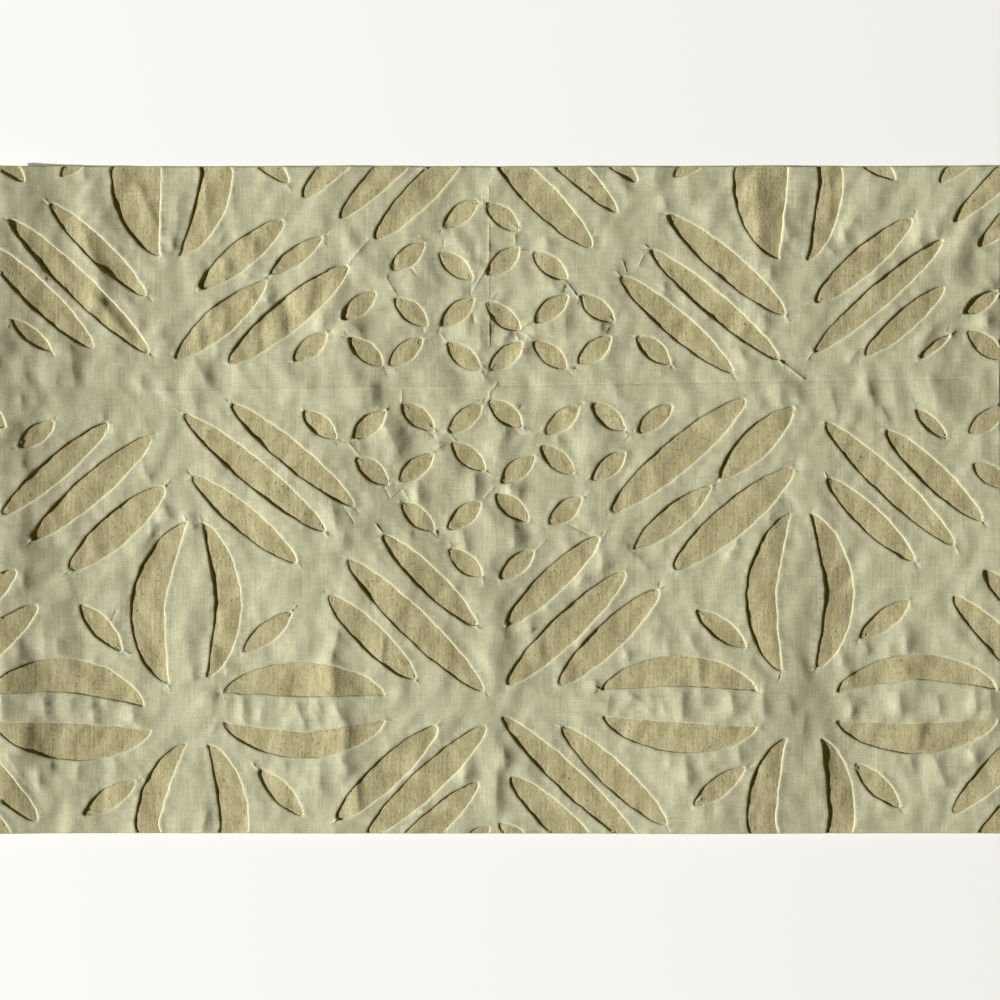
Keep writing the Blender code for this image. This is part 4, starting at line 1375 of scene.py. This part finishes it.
def stage_piece(name, shape, base, roughness, tone, glow):
    """A piece of the stage from a bmesh shape, with a plain finish that glows."""
    material = bpy.data.materials.new("pale " + name)
    material.use_nodes = True
    shader = material.node_tree.nodes["Principled BSDF"]
    shader.inputs["Base Color"].default_value = base
    shader.inputs["Roughness"].default_value = roughness
    shader.inputs["Emission Color"].default_value = tone
    shader.inputs["Emission Strength"].default_value = glow
    data = bpy.data.meshes.new(name)
    shape.to_mesh(data)
    shape.free()
    data.materials.append(material)
    piece = bpy.data.objects.new(name, data)
    bpy.context.scene.collection.objects.link(piece)
    print(name, "of", len(data.polygons), "faces")
    return piece


def make_floor():
    shape = bmesh.new()
    corners = [(-1, -1), (1, -1), (1, 1), (-1, 1)]
    shape.faces.new([shape.verts.new((x * FLOOR_HALF, y * FLOOR_HALF, -FLOOR_DROP)) for x, y in corners])
    stage_piece("floor", shape, FLOOR_TONE, FLOOR_ROUGHNESS, FLOOR_GLOW_TONE, FLOOR_GLOW)


def make_backdrop():
    shape = bmesh.new()
    radii = {"radius1": FLOOR_HALF, "radius2": FLOOR_HALF}
    upright = Matrix.Translation((0, 0, BACKDROP_HIGH / 2))
    bmesh.ops.create_cone(shape, segments=BACKDROP_SIDES, depth=BACKDROP_HIGH, matrix=upright, **radii)
    finish = (BACKDROP_BASE, BACKDROP_ROUGHNESS, BACKDROP_TONE, BACKDROP_GLOW)
    backdrop = stage_piece("backdrop", shape, *finish)
    for ray in UNSEEN_BY:
        setattr(backdrop, "visible_" + ray, False)


make_floor()
make_backdrop()

# %% [markdown]
# The photograph looks straight down, and its light is low and comes from the left: every left edge of a
# window throws a thin shadow and every right edge shines. A small lamp far away meets the whole cloth at
# the same angle and with the same strength, as a window across a room does. A faint warm sky fills the
# shadows, which are brown in the photograph and not grey.

# %% Light
LAMP_AWAY = 12.0
LAMP_HEIGHT = math.radians(23)
LAMP_SIDE = math.radians(7)
LAMP_SIZE = 0.36
LAMP_POWER = 2830
FILL_TONE, FILL_STRENGTH = (1.0, 0.78, 0.14, 1), 0.065


def make_light():
    lamp = bpy.data.lights.new("window light", "AREA")
    lamp.shape = "DISK"
    lamp.size = LAMP_SIZE
    lamp.energy = LAMP_POWER
    light = bpy.data.objects.new("window light", lamp)
    flat_away = LAMP_AWAY * math.cos(LAMP_HEIGHT)
    aside, up = -flat_away * math.sin(LAMP_SIDE), LAMP_AWAY * math.sin(LAMP_HEIGHT)
    light.location = (-flat_away * math.cos(LAMP_SIDE), aside, up)
    light.rotation_euler = (-light.location).to_track_quat("-Z", "Y").to_euler()
    bpy.context.scene.collection.objects.link(light)
    sky = bpy.data.worlds.new("soft fill")
    sky.use_nodes = True
    back = sky.node_tree.nodes["Background"]
    back.inputs["Color"].default_value = FILL_TONE
    back.inputs["Strength"].default_value = FILL_STRENGTH
    bpy.context.scene.world = sky
    bpy.context.scene.view_settings.view_transform = "Standard"
    print("the lamp stands at", [round(place, 2) for place in light.location], "metres")


make_light()

# %% [markdown]
# The camera looks straight down from the height of a standing person's eyes. Its lens is worked out so
# that the cloth is as wide as the picture, as it is in the photograph.

# %% Camera
CAMERA_HEIGHT = 1.6
SENSOR = 36


def make_camera():
    lens = bpy.data.cameras.new("camera")
    lens.sensor_width = SENSOR
    lens.lens = SENSOR * (CAMERA_HEIGHT - high.z) / (high.x - low.x)
    camera = bpy.data.objects.new("camera", lens)
    camera.location = (0, 0, CAMERA_HEIGHT)
    bpy.context.scene.collection.objects.link(camera)
    bpy.context.scene.camera = camera
    print(f"lens of {lens.lens:.0f} mm")


make_camera()
